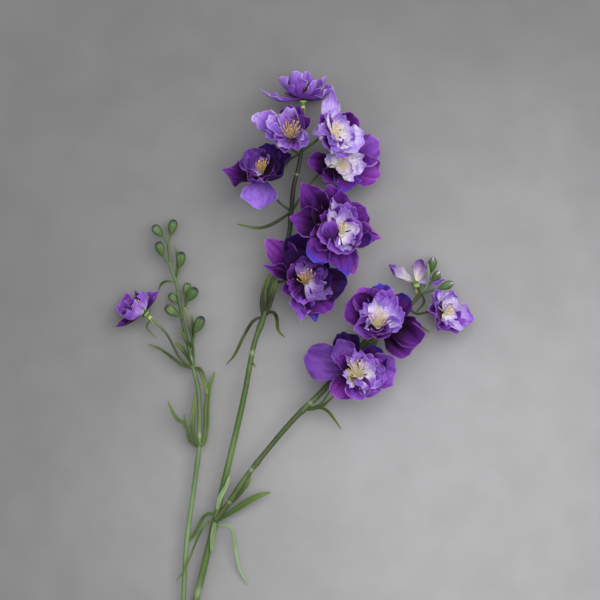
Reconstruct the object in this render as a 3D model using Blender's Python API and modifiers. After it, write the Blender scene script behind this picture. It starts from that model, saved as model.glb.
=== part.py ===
"""An artificial larkspur spray lying on a table: stems, leaves and buds, and blooms of layered petals.

The spray lies along +Y with its tip up the page and +Z away from the table, so the view from above is its
face. Tables are in millimetres from the origin, which is the middle of the spray's box, on the table top.
"""

import math
from dataclasses import dataclass

import bmesh
import bpy
from mathutils import Matrix, Vector

MM = 0.001
WELD = 1e-6             # points closer than this many metres are one

# Driving dimensions, in millimetres
FABRIC = 0.7            # thickness of a petal
LEAF_THICKNESS = 0.8
GAP = 0.3               # between pieces that touch
PEDICEL_RADIUS = 0.95
HUB_RADIUS = 4.0        # disc that the outer petals are welded to
INNER_HUB_RADIUS = 2.2
STAMEN_HUB_RADIUS = 1.3
CALYX_RADIUS = 2.6
CALYX_FOOT_RADIUS = 1.33
CALYX_HEIGHT = 4.0
HUB_BACK = -0.3         # heights along a bloom's axis, from its centre
HUB_FRONT = 1.7
INNER_HUB_BACK = 2.0
INNER_HUB_FRONT = 3.2
STAMEN_HUB_BACK = 3.5
STAMEN_HUB_FRONT = 4.6
CALYX_FRONT = HUB_BACK - GAP
LOWEST_ROOT = 0.4       # the outer petals' roots climb from the lowest petal's to the highest's
ROOT_RISE = 1.0
STAMEN_FOOT_RADIUS = 0.45
STAMEN_HEAD_RADIUS = 0.7
STAMEN_SINK = 0.6       # how deep a stamen stands in its disc
BUD_STALK_RADIUS = 0.9

# Where petals come near the table they bend along it, above this height
TABLE_CLEARANCE = 0.4
TABLE_KNEE = 3.0

# Outline of a petal: share of its length at its widest, and shares of its width at root and tip
WIDEST = 0.62
NECK = 0.16
TIP_SHARE = 0.74
TIP_NARROWED = 0.45     # off the tip's share on a pointed petal
CORNERS_BACK = 0.10     # how far the tip's corners are drawn back, as a share of the length
POINTED_BACK = 0.20     # and how much more on a pointed petal
CORNER_POWER = 2.0      # the curve that they are drawn back along
POINTED_POWER = 1.2
PETAL_ROOT = 0.75       # where on its disc a petal is rooted, as a share of the disc's radius

# Ring of inner petals: one lobed cup
INNER_PETALS = 5
LOBE_DEPTH = 0.45       # of the notches between its petals, as a share of their length
RING_BOW = 0.12         # as a share of their length
RING_SINK = 0.7         # how deep it stands in its disc

# Strap leaf: its half width follows a sine from LEAF_START, over LEAF_SPAN of half a turn
LEAF_START = 0.12
LEAF_SPAN = 0.86
LEAF_FULLNESS = 0.6     # power of the sine: lower is fuller towards the ends
LEAF_LEAST = 0.22       # least share of the half width
LEAF_FOLD = 0.25        # rise of its edges, as a share of the half width

# Bud: its radius along its length is BUD_BASE + BUD_SWELL * share - BUD_DRAWN * share squared
BUD_BASE = 0.55
BUD_SWELL = 0.75
BUD_DRAWN = 0.15
BUD_RIBS = 4
BUD_RIB_HEIGHT = 0.07
BUD_STALK_SINK = 0.1    # how far its stalk reaches into it, as a share of its length

STAMEN_UPRIGHT = 6.0    # degrees that every third stamen leans out
STAMEN_LEAN = 17.0      # and the others
STAMEN_ROOT = 0.5       # where on its disc a stamen stands, as a share of the disc's radius

# Fineness of the solids
PETAL_ROWS = 3
PETAL_COLUMNS = 2
RING_ROWS = 2
LEAF_ROWS = 5
ROUTE_STEPS = 2
LEAF_STEPS = 4
DISC_SIDES = 8
BUD_SIDES = 8
BUD_ROWS = 5
STAMEN_SIDES = 3
SHARP_ANGLE = 40.0      # edges that turn by more than this many degrees aren't shaded smooth

PURPLE = (0.16, 0.035, 0.38)
LILAC = (0.55, 0.42, 0.80)
YELLOW = (0.72, 0.56, 0.22)
GREEN = (0.14, 0.24, 0.07)


@dataclass
class Petal:
    """One petal: its tip from the bloom's centre, its width, and how it is formed."""

    tip: tuple
    width: float
    belly: float = 0.10     # bow of the midrib away from the bloom's axis, as a share of the length
    cup: float = 0.35       # rise of the edges, as a share of the half width
    sharp: float = 0.25     # 0 is a round tip, 1 a pointed one


@dataclass
class Bloom:
    """One bloom: its centre, the way it faces, its stalk from the stem, its petals and its inner ring."""

    name: str
    centre: tuple
    axis: tuple
    stalk: list
    petals: list
    inner_length: float = 15.0
    inner_rise: float = 46.0    # degrees above the plane across the axis
    inner_start: float = 20.0   # degrees round the axis
    stamens: int = 5
    stamen_length: float = 8.5


@dataclass
class Leaf:
    """One strap leaf: the points its midrib passes through, and its width."""

    points: list
    width: float


@dataclass
class Bud:
    """One closed bud: where its stalk leaves the stem, its base, its tip and its width."""

    root: tuple
    base: tuple
    tip: tuple
    width: float


@dataclass
class Stem:
    """One stem: its route, the radius at each point of it, and all that grows on it."""

    name: str
    route: list
    radii: list
    stalks: list
    leaves: list
    buds: list
    blooms: list


BLOOMS = [
    Bloom("crown", (9, 288, 27), (0.0, 0.95, 0.30), [(8, 247, 25.5), (9, 266, 26)], [
        Petal((-35, 8, -4), 8.5, belly=0.16, sharp=0.8),
        Petal((-19, 18, 4), 16, belly=0.14),
        Petal((-8, 22, 13), 17, belly=0.14),
        Petal((3, 23, -9), 15),
        Petal((10, 14, 15), 12, belly=0.14),
        Petal((20, 18, 1), 14),
        Petal((25, 8, 9), 15, belly=0.14),
        Petal((-7, 8, -31), 22),
        Petal((14, 6, -31), 22),
    ], inner_rise=76, inner_length=10),
    Bloom("upper_left", (-2, 257, 41), (-0.10, 0.45, 0.88), [(6, 245, 25.5), (1, 248, 30)], [
        Petal((-30, 16, 3), 22),
        Petal((4, 26, -5), 22),
        Petal((17, 15, 4), 14.5),
        Petal((15, -6, 10), 17, belly=0.14),
        Petal((-4, -12, 12), 22, belly=0.14),
        Petal((-19, 0, 10), 17),
    ], inner_length=13),
    Bloom("upper_right", (28, 262, 38), (0.35, 0.15, 0.92), [(8, 247, 25), (18, 254, 28)], [
        Petal((5, 34, 6), 15.5, sharp=0.8),
        Petal((26, 7, -2), 23),
        Petal((20, -15, 6), 22),
        Petal((4, -17, 8), 19.5),
        Petal((-6, 14, 11), 10, sharp=0.7),
        Petal((-11, -2, 9), 12),
    ]),
    Bloom("left", (-22, 224, 36), (-0.15, 0.60, 0.78), [(-2, 200, 23), (-11, 207, 25)], [
        Petal((-35, 7.5, -2), 21, sharp=0.9),
        Petal((-14, 24, 2), 23),
        Petal((5, 29, -6), 22),
        Petal((21, 21, 2), 18.5),
        Petal((15, 5, 14), 19.5, belly=0.15),
        Petal((-11, -2, 15), 22, belly=0.15),
        Petal((-4.5, -24.5, 3), 33, belly=0.12, sharp=0.5),
    ]),
    Bloom("right", (34, 237, 26), (0.55, -0.10, 0.83), [(1, 201, 23), (15, 222, 19)], [
        Petal((-22, 1, 6), 20.5, belly=0.14),
        Petal((-9, -14, 7), 17),
        Petal((7, -24, 0), 23),
        Petal((36.5, -9.5, -9), 27, sharp=0.2),
        Petal((35.5, 19.5, -9), 27, sharp=0.2),
        Petal((8, 20, -4), 19.5),
        Petal((20, 5, -31), 24.5),
    ]),
    Bloom("large", (33, 184, 44), (0.15, -0.05, 0.98), [(-4, 173, 22), (8, 176, 27), (24, 181, 33)], [
        Petal((-26, 36.5, -6), 24.5, sharp=0.7),
        Petal((-35, 9.5, 2), 26, sharp=0.5),
        Petal((-18, -25, 2), 24.5),
        Petal((11, -38, 3), 23.5, sharp=0.7),
        Petal((15.5, -36.5, -8), 22.5),
        Petal((30, -10, 4), 22, belly=0.14),
        Petal((38, -6.5, -8), 22.5, sharp=0.7),
        Petal((27, 15, -5), 29.5, sharp=0.2),
        Petal((6, 30, 6), 19.5),
        Petal((-3, 36, -8), 17),
    ], inner_length=20),
    Bloom("lower_left", (10, 144, 32), (0.20, -0.05, 0.97), [(-15, 142, 20), (-4, 143, 21)], [
        Petal((-31, 33, -4), 23.5, sharp=0.4),
        Petal((-10, 36, 0), 29.5, sharp=0.0),
        Petal((-34, 12, 4), 13.5, sharp=0.9),
        Petal((-2, -33, 4), 20, sharp=0.7),
        Petal((9, -34, -3), 20, sharp=0.7),
        Petal((20.5, -25.5, 3), 28),
        Petal((34.5, -3, -4), 28),
        Petal((16, 20, -4), 24.5),
    ], inner_length=17),
    Bloom("branch_upper", (72, 110, 38), (-0.05, 0.15, 0.98), [(71, 104, 19), (72, 107, 25)], [
        Petal((-29, 15.5, 0), 30.5, sharp=0.1),
        Petal((-19.5, 27.5, -4), 24.5),
        Petal((-1, 31, -7), 22, sharp=0.2),
        Petal((21, 21, -6), 24.5),
        Petal((24, -23.5, -6), 34, sharp=0.1),
        Petal((30.5, -14, -7), 27, sharp=0.1),
        Petal((-5, -14, 12), 22, belly=0.15),
        Petal((-23, -6, 7), 17),
    ], inner_length=19),
    Bloom("branch_lower", (48, 72, 36), (0.10, 0.0, 0.99), [(40, 71, 19), (44, 72, 24)], [
        Petal((-38, 12, -4), 32, sharp=0.1),
        Petal((-9.5, 30, -8), 22),
        Petal((-12, 25, 5), 22),
        Petal((26, 13.5, -4), 27, sharp=0.2),
        Petal((35, -3, -7), 30.5, sharp=0.1),
        Petal((22, -18, 0), 25.5),
        Petal((8, -24, 4), 23),
        Petal((-14, -22, -1), 24.5),
    ], inner_length=18),
    Bloom(
        "branch_small", (118, 119, 20), (0.65, -0.05, 0.75),
        [(93, 122, 18), (100, 117, 15), (108, 118, 13)], [
            Petal((-5, 17, 7), 17),
            Petal((11, 17, 2), 17),
            Petal((29, -7, -2), 21, sharp=0.6),
            Petal((15, -18, 1), 21),
            Petal((-1, -16, 7), 15),
            Petal((-10, 2, 10), 14),
            Petal((14, 3, -25), 19.5),
        ], inner_length=12, stamen_length=7,
    ),
    Bloom(
        "bud_stem", (-118, 118, 15), (-0.62, 0.70, 0.35),
        [(-80, 73, 11.5), (-90, 81, 14), (-96, 92, 15), (-102, 102, 14)], [
            Petal((-18.5, -3.5, 12), 22, belly=0.14),
            Petal((-26.5, -12, -3), 13, sharp=0.8),
            Petal((-24, 3, -6), 19),
            Petal((-17, 9, 2), 12),
            Petal((-9, 18, -4), 10, sharp=0.8),
            Petal((-2, 18, 8), 12, belly=0.14),
            Petal((11, 18, 2), 12.5, sharp=0.6),
            Petal((-10, 2, -20), 16),
        ], inner_rise=76, inner_length=9, stamen_length=6,
    ),
]

# The half-open bloom at the tip of the right branch has three petals and no ring inside
OPENING_BLOOM = Bloom("branch_opening", (100, 141, 20), (-0.05, 0.70, 0.72), [(104, 134, 18)], [
    Petal((-23, 15, 0), 11, sharp=0.9, belly=0.22),
    Petal((4, 20, 8), 11, belly=0.14, sharp=0.2),
    Petal((24, 3, -7), 9, sharp=0.8),
])

MAIN_STEM = Stem(
    "main_stem",
    route=[
        (-119, -311, 2.7), (-105, -244, 3.4), (-90, -166, 5.5), (-77, -112, 8), (-54, -16, 13),
        (-39, 48, 17), (-31, 90, 19), (-23, 114, 20), (-15, 144, 21), (-7, 166, 22), (-2, 183, 23),
        (1, 216, 24), (5, 233, 25), (8, 248, 25.5),
    ],
    radii=[2.7, 2.7, 2.6, 2.6, 2.4, 2.2, 2.0, 2.2, 2.0, 1.9, 1.8, 1.7, 1.6, 1.4],
    stalks=[],
    leaves=[
        Leaf([
            (-62, -51, 9.5), (-48, -43, 8.5), (-35, -34, 10), (-25.5, -29, 11), (-17.5, -27, 10),
        ], 5.0),
        Leaf([
            (-61, -54, 10), (-54, -53, 12), (-48, -57, 11), (-45, -77, 7), (-42, -91, 4), (-36, -102, 2),
        ], 2.8),
        Leaf([(-62, -45, 12), (-68, -44, 13), (-73, -49, 10), (-79, -61, 5), (-86, -69, 3)], 3.4),
        Leaf([(-62, -50, 12), (-69, -52, 15), (-76, -64, 16), (-85, -86, 15), (-93, -98, 12)], 2.2),
        Leaf([(-62, -51, 13.5), (-64, -64, 15), (-65, -75, 14)], 4.8),
        Leaf([(-60.5, -41, 13.3), (-58, -31, 17), (-53, -21.5, 17.5), (-50.5, -13.5, 17)], 4.4),
        Leaf([(-23, 115, 20), (-31, 111, 22), (-38, 100, 20), (-46, 84, 15), (-53, 76, 11)], 2.8),
        Leaf([(-22, 117, 20), (-15, 118, 22), (-12, 113, 20), (-11, 104, 16), (-6, 98, 12)], 3.0),
        Leaf([(-23, 116, 21), (-23, 127, 23), (-21.5, 139, 23), (-17.5, 149, 21)], 6.0),
        Leaf([(-20.5, 116, 21), (-16, 133, 23.5), (-11.5, 147, 23)], 5.0),
        Leaf([(-34, 80, 19), (-29, 74, 20)], 1.6),
        Leaf([(-1, 198, 23.5), (-12, 191, 23), (-21, 187, 21), (-30, 186, 19), (-44, 189, 16)], 3.0),
        Leaf([(7, 245, 25), (-2, 240, 24), (-5, 231, 22)], 1.6),
    ],
    buds=[],
    blooms=["crown", "upper_left", "upper_right", "left", "right", "large", "lower_left"],
)

RIGHT_BRANCH = Stem(
    "right_branch",
    route=[
        (-62, -50, 12), (-49.5, -33, 15), (-38, -15.5, 17), (-19.5, 8, 18), (1, 32, 19), (23.5, 54, 19),
        (41, 74, 19), (58, 94, 19), (74, 107, 19), (94, 123, 18), (104, 134, 18),
    ],
    radii=[2.2, 2.2, 2.1, 2.0, 2.1, 2.3, 2.2, 1.9, 1.8, 1.6, 1.4],
    stalks=[],
    leaves=[
        Leaf([
            (10, 39.5, 18.5), (16, 40.5, 20), (23.5, 41.5, 20), (29, 38.5, 17), (34, 32, 12), (39.5, 24, 7),
        ], 2.6),
        Leaf([(11, 40.5, 18.5), (17, 42, 19), (22.5, 44.5, 19), (27, 49.5, 18), (31.5, 57, 15)], 2.2),
        Leaf([(10.5, 40, 18), (20, 41.5, 18.5), (25.5, 43.5, 17.5), (29, 46.5, 16), (35, 52, 14)], 2.8),
        Leaf([(-49, -36, 13), (-42, -27.5, 14), (-36, -19.5, 15), (-33, -12.5, 16)], 3.6),
        Leaf([(54, 88, 18), (62, 91, 15), (70, 99, 14)], 7.0),
        Leaf([(88, 118, 18), (93, 112, 17), (101, 108, 13), (111, 102, 8)], 3.0),
        Leaf([(104, 133, 17), (106, 126, 14), (99, 117, 11)], 1.8),
        Leaf([(103.5, 134, 18.5), (107.5, 139, 24), (109, 148, 29), (108.5, 157, 32)], 2.6),
    ],
    buds=[
        Bud((105, 134, 17), (112, 150, 10.5), (114, 163, 11), 8.0),
        Bud((104, 134, 17.5), (112, 143, 24), (119, 151, 26), 7.5),
        Bud((104, 133, 18), (117, 137, 21.5), (130, 142, 22.5), 7.5),
    ],
    blooms=["branch_upper", "branch_lower", "branch_small", "branch_opening"],
)

LEFT_BRANCH = Stem(
    "left_branch",
    route=[
        (-90.5, -168, 5.5), (-90.4, -150, 7), (-88, -120, 9), (-85, -68, 11), (-78, -16, 11), (-75, 10, 11),
        (-75, 49, 11), (-79, 72, 11), (-88, 110, 11), (-93, 141, 11), (-97, 152, 11), (-100, 174, 11),
    ],
    radii=[1.9, 1.9, 1.8, 1.8, 1.8, 1.7, 1.7, 1.6, 1.4, 1.3, 1.2, 1.1],
    stalks=[
        [(-79, 73, 11), (-80, 93, 12), (-83, 106, 12), (-87, 125, 11)],
    ],
    leaves=[
        Leaf([(-79, 72, 11), (-89, 76, 12), (-98, 83, 11), (-107, 89, 8), (-116, 92, 6)], 2.8),
        Leaf([(-80, 75, 12), (-85, 85, 15.5), (-89, 90, 16), (-94, 93, 15)], 4.0),
        Leaf([(-79, 73, 12), (-74, 72, 14), (-71, 64, 14), (-68, 51, 12)], 4.2),
        Leaf([
            (-75, 10, 11), (-71, 13, 11), (-69, 24, 9), (-68.5, 42, 7), (-66.5, 58, 7), (-62.5, 70, 7),
        ], 5.0),
        Leaf([(-75, 10, 12), (-79.5, 19, 15), (-80.5, 28, 15), (-79, 40, 15), (-78, 54, 14)], 4.6),
        Leaf([(-75, 9, 11), (-82, 14, 12), (-85, 25, 12), (-87, 36, 12)], 2.8),
        Leaf([(-84, 24, 12), (-87.5, 29, 12.5), (-93, 32.5, 12.5), (-97, 39.5, 12), (-100, 46.5, 11)], 3.0),
        Leaf([(-94, 142, 10), (-92, 160, 8), (-95, 174, 9)], 2.6),
        Leaf([(-80, 90, 12), (-85, 96, 15), (-91, 106, 15)], 3.4),
        Leaf([(-80, 96, 11), (-80, 107, 9), (-81, 116, 8)], 2.6),
        Leaf([(-93, 142, 11), (-101, 143, 12), (-106, 140, 10), (-108, 134, 7)], 2.2),
        Leaf([(-113, 113, 13), (-117, 106, 10), (-109, 97, 9)], 1.6),
    ],
    buds=[
        Bud((-100, 173, 11), (-104, 179, 12), (-112, 188, 13), 8.0),
        Bud((-100, 173, 11), (-98, 180, 10), (-95, 193, 10), 8.0),
        Bud((-97, 155, 11), (-104, 163, 13), (-108, 175, 14), 8.4),
        Bud((-94, 142, 11), (-90, 154, 13), (-89, 167, 14), 8.4),
        Bud((-86, 124, 11), (-86, 131, 8), (-84, 142, 7), 7.0),
        Bud((-86, 123, 12), (-84, 127, 14), (-77, 138, 15), 9.0),
        Bud((-90, 122, 11), (-92, 126, 9), (-99, 133, 8), 7.0),
        Bud((-88, 112, 11), (-91, 115, 14), (-102, 123, 15), 8.2),
        Bud((-80, 92, 12), (-78, 101, 14), (-72, 115, 15), 9.0),
    ],
    blooms=["bud_stem"],
)


def unit(vector):
    """The vector, at length 1."""
    return Vector(vector).normalized()


def lifted(point):
    """The point, raised so that nothing reaches the table: petals bend along it."""
    if point.z >= TABLE_KNEE:
        return point
    room = TABLE_KNEE - TABLE_CLEARANCE
    height = TABLE_CLEARANCE + room * math.exp((point.z - TABLE_KNEE) / room)
    return Vector((point.x, point.y, height))


def smooth_route(points, values, steps):
    """Points and values along a Catmull-Rom curve through the route, with steps for each stretch."""
    rows = [Vector((*point, value)) for point, value in zip(points, values)]
    rows = [rows[0] * 2 - rows[1], *rows, rows[-1] * 2 - rows[-2]]
    found = []
    for index in range(1, len(rows) - 2):
        before, start, end, after = rows[index - 1:index + 3]
        for step in range(steps):
            t = step / steps
            found.append(0.5 * (
                2 * start + (end - before) * t
                + (2 * before - 5 * start + 4 * end - after) * t ** 2
                + (3 * start - before - 3 * end + after) * t ** 3
            ))
    found.append(rows[-2])
    return [row.to_3d() for row in found], [row.w for row in found]


def outline(along, sharp):
    """Half width of a petal at this share of its length, as a share of the widest."""
    if along < WIDEST:
        return NECK + (1 - NECK) * math.sin(math.pi / 2 * along / WIDEST)
    tip_share = TIP_SHARE - TIP_NARROWED * sharp
    return 1 - (1 - tip_share) * ((along - WIDEST) / (1 - WIDEST)) ** 2


def petal_surface(root, tip, axis, petal):
    """A function from (along, across) to a point of the petal's middle surface."""
    chord = tip - root
    length = chord.length
    forward = chord.normalized()
    face = (axis - axis.dot(forward) * forward).normalized()
    side = forward.cross(face)
    drawn_back = CORNERS_BACK + POINTED_BACK * petal.sharp
    power = CORNER_POWER + (POINTED_POWER - CORNER_POWER) * petal.sharp

    def surface(along, across):
        reach = along * (1 - drawn_back * abs(across) ** power * along ** 2)
        half = petal.width / 2 * outline(along, petal.sharp)
        bow = petal.belly * length * math.sin(math.pi * reach)
        rise = petal.cup * half * across ** 2 - bow
        return root + chord * reach + side * half * across + face * rise

    return surface


def leaf_surface(leaf):
    """A function from (along, across) to a point of the leaf's middle surface."""
    spine, _ = smooth_route(leaf.points, [0] * len(leaf.points), LEAF_STEPS)
    last = len(spine) - 1

    def surface(along, across):
        place = along * last
        index = min(int(place), last - 1)
        forward = (spine[index + 1] - spine[index]).normalized()
        centre = spine[index].lerp(spine[index + 1], place - index)
        side = forward.cross(Vector((0, 0, 1))).normalized()
        share = math.sin(math.pi * (LEAF_START + LEAF_SPAN * along)) ** LEAF_FULLNESS
        half = leaf.width / 2 * max(LEAF_LEAST, share)
        fold = Vector((0, 0, LEAF_FOLD * half * abs(across)))
        return centre + side * half * across + fold

    return surface


def cup_surface(bloom):
    """A function from (along, round) to a point of the ring of inner petals, which is one lobed cup."""
    centre, axis = Vector(bloom.centre), unit(bloom.axis)
    start = axis.orthogonal().normalized()
    rise = math.radians(bloom.inner_rise)

    def surface(along, turn):
        lobe = 1 - LOBE_DEPTH * math.cos(math.pi * INNER_PETALS * turn) ** 2
        outward = Matrix.Rotation(2 * math.pi * turn + math.radians(bloom.inner_start), 3, axis) @ start
        reach = bloom.inner_length * along * lobe
        bow = RING_BOW * bloom.inner_length * math.sin(math.pi * along)
        radius = INNER_HUB_RADIUS * PETAL_ROOT + reach * math.cos(rise) + bow * math.sin(rise)
        height = INNER_HUB_FRONT - RING_SINK + reach * math.sin(rise) - bow * math.cos(rise)
        return centre + outward * radius + axis * height

    return surface


def make_object(name, mesh, collection):
    """A new object for the mesh, in the collection."""
    made = bpy.data.objects.new(name, mesh)
    collection.objects.link(made)
    return made


def evaluated_mesh(source):
    """The object's mesh with its modifiers applied."""
    bpy.context.view_layer.update()
    graph = bpy.context.evaluated_depsgraph_get()
    return bpy.data.meshes.new_from_object(source.evaluated_get(graph))


def mesh_only(source):
    """The object turned into a plain mesh object: modifiers applied, and a curve's caps welded."""
    mesh = evaluated_mesh(source)
    form = bmesh.new()
    form.from_mesh(mesh)
    bmesh.ops.remove_doubles(form, verts=form.verts, dist=WELD)
    form.to_mesh(mesh)
    form.free()
    made = make_object(source.name + "_mesh", mesh, source.users_collection[0])
    made.matrix_world = source.matrix_world
    bpy.data.objects.remove(source)
    return made


def blade(surface, rows, columns, thickness, origin, collection):
    """A thin closed blade on a surface function, in metres from the origin point.

    Where the surface comes round to meet itself, as a cup's does, its two edges are welded.
    """
    mesh = bpy.data.meshes.new("blade")
    form = bmesh.new()
    bmesh.ops.create_grid(form, x_segments=columns, y_segments=rows, size=1)
    for vertex in form.verts:
        across, along = vertex.co.x, (vertex.co.y + 1) / 2
        vertex.co = (lifted(surface(along, across)) - origin) * MM
    bmesh.ops.remove_doubles(form, verts=form.verts, dist=WELD)
    bmesh.ops.triangulate(form, faces=form.faces)
    form.to_mesh(mesh)
    form.free()
    made = make_object("blade", mesh, collection)
    solid = made.modifiers.new("thickness", "SOLIDIFY")
    solid.thickness = thickness * MM
    solid.offset = 0
    return mesh_only(made)


def tube(points, radii, sides_level, origin, collection):
    """A round tube along the points, with closed ends, in metres from the origin point."""
    curve = bpy.data.curves.new("tube", "CURVE")
    curve.dimensions = "3D"
    curve.bevel_depth = MM
    curve.bevel_resolution = sides_level
    curve.use_fill_caps = True
    line = curve.splines.new("POLY")
    line.points.add(len(points) - 1)
    for place, point, radius in zip(line.points, points, radii):
        place.co = (*((point - origin) * MM), 1)
        place.radius = radius
    return mesh_only(make_object("tube", curve, collection))


def disc(radius, back, front, centre, axis, origin, collection):
    """A short cylinder on a bloom's axis, between two heights along it."""
    mesh = bpy.data.meshes.new("disc")
    form = bmesh.new()
    middle = centre + axis * (back + front) / 2
    place = Matrix.Translation((middle - origin) * MM) @ axis.to_track_quat("Z", "Y").to_matrix().to_4x4()
    bmesh.ops.create_cone(
        form, cap_ends=True, segments=DISC_SIDES, radius1=radius * MM, radius2=radius * MM,
        depth=(front - back) * MM, matrix=place,
    )
    form.to_mesh(mesh)
    form.free()
    return make_object("disc", mesh, collection)


def calyx(centre, axis, origin, collection):
    """The green funnel that holds a bloom."""
    mesh = bpy.data.meshes.new("calyx")
    form = bmesh.new()
    middle = centre + axis * (CALYX_FRONT - CALYX_HEIGHT / 2)
    place = Matrix.Translation((middle - origin) * MM) @ axis.to_track_quat("Z", "Y").to_matrix().to_4x4()
    bmesh.ops.create_cone(
        form, cap_ends=True, segments=DISC_SIDES, radius1=CALYX_FOOT_RADIUS * MM,
        radius2=CALYX_RADIUS * MM, depth=CALYX_HEIGHT * MM, matrix=place,
    )
    form.to_mesh(mesh)
    form.free()
    return make_object("calyx", mesh, collection)


def bud_body(bud, origin, collection):
    """A closed bud: a ribbed pear shape, blunt at its tip."""
    base, tip = Vector(bud.base), Vector(bud.tip)
    length = (tip - base).length
    forward = (tip - base).normalized()
    mesh = bpy.data.meshes.new("bud")
    form = bmesh.new()
    bmesh.ops.create_uvsphere(form, u_segments=BUD_SIDES, v_segments=BUD_ROWS, radius=1)
    turn = forward.to_track_quat("Z", "Y")
    for vertex in form.verts:
        along = (vertex.co.z + 1) / 2
        round_angle = math.atan2(vertex.co.y, vertex.co.x)
        swell = BUD_BASE + BUD_SWELL * along - BUD_DRAWN * along ** 2
        rib = 1 + BUD_RIB_HEIGHT * math.cos(BUD_RIBS * round_angle)
        radius = bud.width / 2 * math.hypot(vertex.co.x, vertex.co.y) * swell * rib
        local = Vector((radius * math.cos(round_angle), radius * math.sin(round_angle), length * along))
        vertex.co = (base + turn @ local - origin) * MM
    form.to_mesh(mesh)
    form.free()
    return make_object("bud", mesh, collection)


def stamen(centre, axis, tilt, angle, length, origin, collection):
    """One stamen: a slim club standing on the bloom's axis, leaning out by tilt degrees."""
    across = axis.orthogonal().normalized()
    outward = Matrix.Rotation(math.radians(angle), 3, axis) @ across
    lean = math.radians(tilt)
    direction = axis * math.cos(lean) + outward * math.sin(lean)
    foot = centre + axis * (STAMEN_HUB_FRONT - STAMEN_SINK) + outward * STAMEN_HUB_RADIUS * STAMEN_ROOT
    mesh = bpy.data.meshes.new("stamen")
    form = bmesh.new()
    place = Matrix.Translation((foot + direction * length / 2 - origin) * MM)
    place = place @ direction.to_track_quat("Z", "Y").to_matrix().to_4x4()
    bmesh.ops.create_cone(
        form, cap_ends=True, segments=STAMEN_SIDES, radius1=STAMEN_FOOT_RADIUS * MM,
        radius2=STAMEN_HEAD_RADIUS * MM, depth=length * MM, matrix=place,
    )
    form.to_mesh(mesh)
    form.free()
    return make_object("stamen", mesh, collection)


def fused(name, body, repeats, material, origin, target):
    """One solid of the body and everything in the repeats collection, placed at the origin point."""
    if repeats.objects:
        joined = body.modifiers.new("joined", "BOOLEAN")
        joined.operation = "UNION"
        joined.operand_type = "COLLECTION"
        joined.solver = "MANIFOLD"
        joined.collection = repeats
    mesh = evaluated_mesh(body)
    mesh.transform(body.matrix_world)
    mesh.name = name
    mesh.materials.clear()
    mesh.materials.append(material)
    made = make_object(name, mesh, target)
    made.location = origin * MM
    for leftover in [body, *repeats.objects]:
        bpy.data.objects.remove(leftover)
    mesh.shade_smooth()
    mesh.set_sharp_from_angle(angle=math.radians(SHARP_ANGLE))
    return made


def outer_petals(bloom, material, target, work):
    """The bloom's outer petals, welded to their disc."""
    centre, axis = Vector(bloom.centre), unit(bloom.axis)
    body = disc(HUB_RADIUS, HUB_BACK, HUB_FRONT, centre, axis, centre, work["body"])
    lowest_first = sorted(bloom.petals, key=lambda petal: axis.dot(unit(petal.tip)))
    for index, petal in enumerate(lowest_first):
        tip = centre + Vector(petal.tip)
        outward = (tip - centre) - axis.dot(tip - centre) * axis
        height = LOWEST_ROOT + ROOT_RISE * index / len(lowest_first)
        root = centre + outward.normalized() * HUB_RADIUS * PETAL_ROOT + axis * height
        surface = petal_surface(root, tip, axis, petal)
        blade(surface, PETAL_ROWS, PETAL_COLUMNS, FABRIC, centre, work["repeats"])
    return fused(bloom.name + "_outer_petals", body, work["repeats"], material, centre, target)


def inner_petals(bloom, material, target, work):
    """The bloom's ring of inner petals, on a disc of their own in front of the outer one."""
    centre, axis = Vector(bloom.centre), unit(bloom.axis)
    body = disc(INNER_HUB_RADIUS, INNER_HUB_BACK, INNER_HUB_FRONT, centre, axis, centre, work["body"])
    ring = cup_surface(bloom)

    def surface(along, across):
        return ring(along, (across + 1) / 2)

    blade(surface, RING_ROWS, 2 * INNER_PETALS, FABRIC, centre, work["repeats"])
    return fused(bloom.name + "_inner_petals", body, work["repeats"], material, centre, target)


def stamens(bloom, material, target, work):
    """The bloom's tuft of stamens, on its own small disc."""
    centre, axis = Vector(bloom.centre), unit(bloom.axis)
    body = disc(STAMEN_HUB_RADIUS, STAMEN_HUB_BACK, STAMEN_HUB_FRONT, centre, axis, centre, work["body"])
    for index in range(bloom.stamens):
        angle = 360 * index / bloom.stamens
        tilt = STAMEN_LEAN if index % 3 else STAMEN_UPRIGHT
        stamen(centre, axis, tilt, angle, bloom.stamen_length, centre, work["repeats"])
    return fused(bloom.name + "_stamens", body, work["repeats"], material, centre, target)


def stalk_tube(points, steps, origin, collection):
    """A thin stalk through the points."""
    route, _ = smooth_route(points, [0] * len(points), steps)
    return tube(route, [PEDICEL_RADIUS] * len(route), 1, origin, collection)


def bloom_stalk(bloom, origin, collection):
    """The stalk of a bloom and the green funnel at its end."""
    centre, axis = Vector(bloom.centre), unit(bloom.axis)
    calyx(centre, axis, origin, collection)
    base = centre + axis * (CALYX_FRONT - CALYX_HEIGHT)
    stalk_tube([*bloom.stalk, base, base + axis * CALYX_HEIGHT / 2], 1, origin, collection)


def bud_on_stalk(bud, origin, collection):
    """A bud and its straight stalk, which ends inside it."""
    end = Vector(bud.base).lerp(Vector(bud.tip), BUD_STALK_SINK)
    tube([Vector(bud.root), end], [BUD_STALK_RADIUS] * 2, 1, origin, collection)
    bud_body(bud, origin, collection)


def cut_clear(made, parent, work):
    """Cuts a solid clear of the stem that it grows from."""
    points, radii = smooth_route(parent.route, parent.radii, ROUTE_STEPS)
    cutter = tube(points, [radius + GAP for radius in radii], 2, made.location / MM, work["body"])
    cutter.location = made.location
    cut = made.modifiers.new("clear of its parent", "BOOLEAN")
    cut.operation = "DIFFERENCE"
    cut.object = cutter
    made.data = evaluated_mesh(made)
    made.modifiers.clear()
    bpy.data.objects.remove(cutter)


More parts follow.
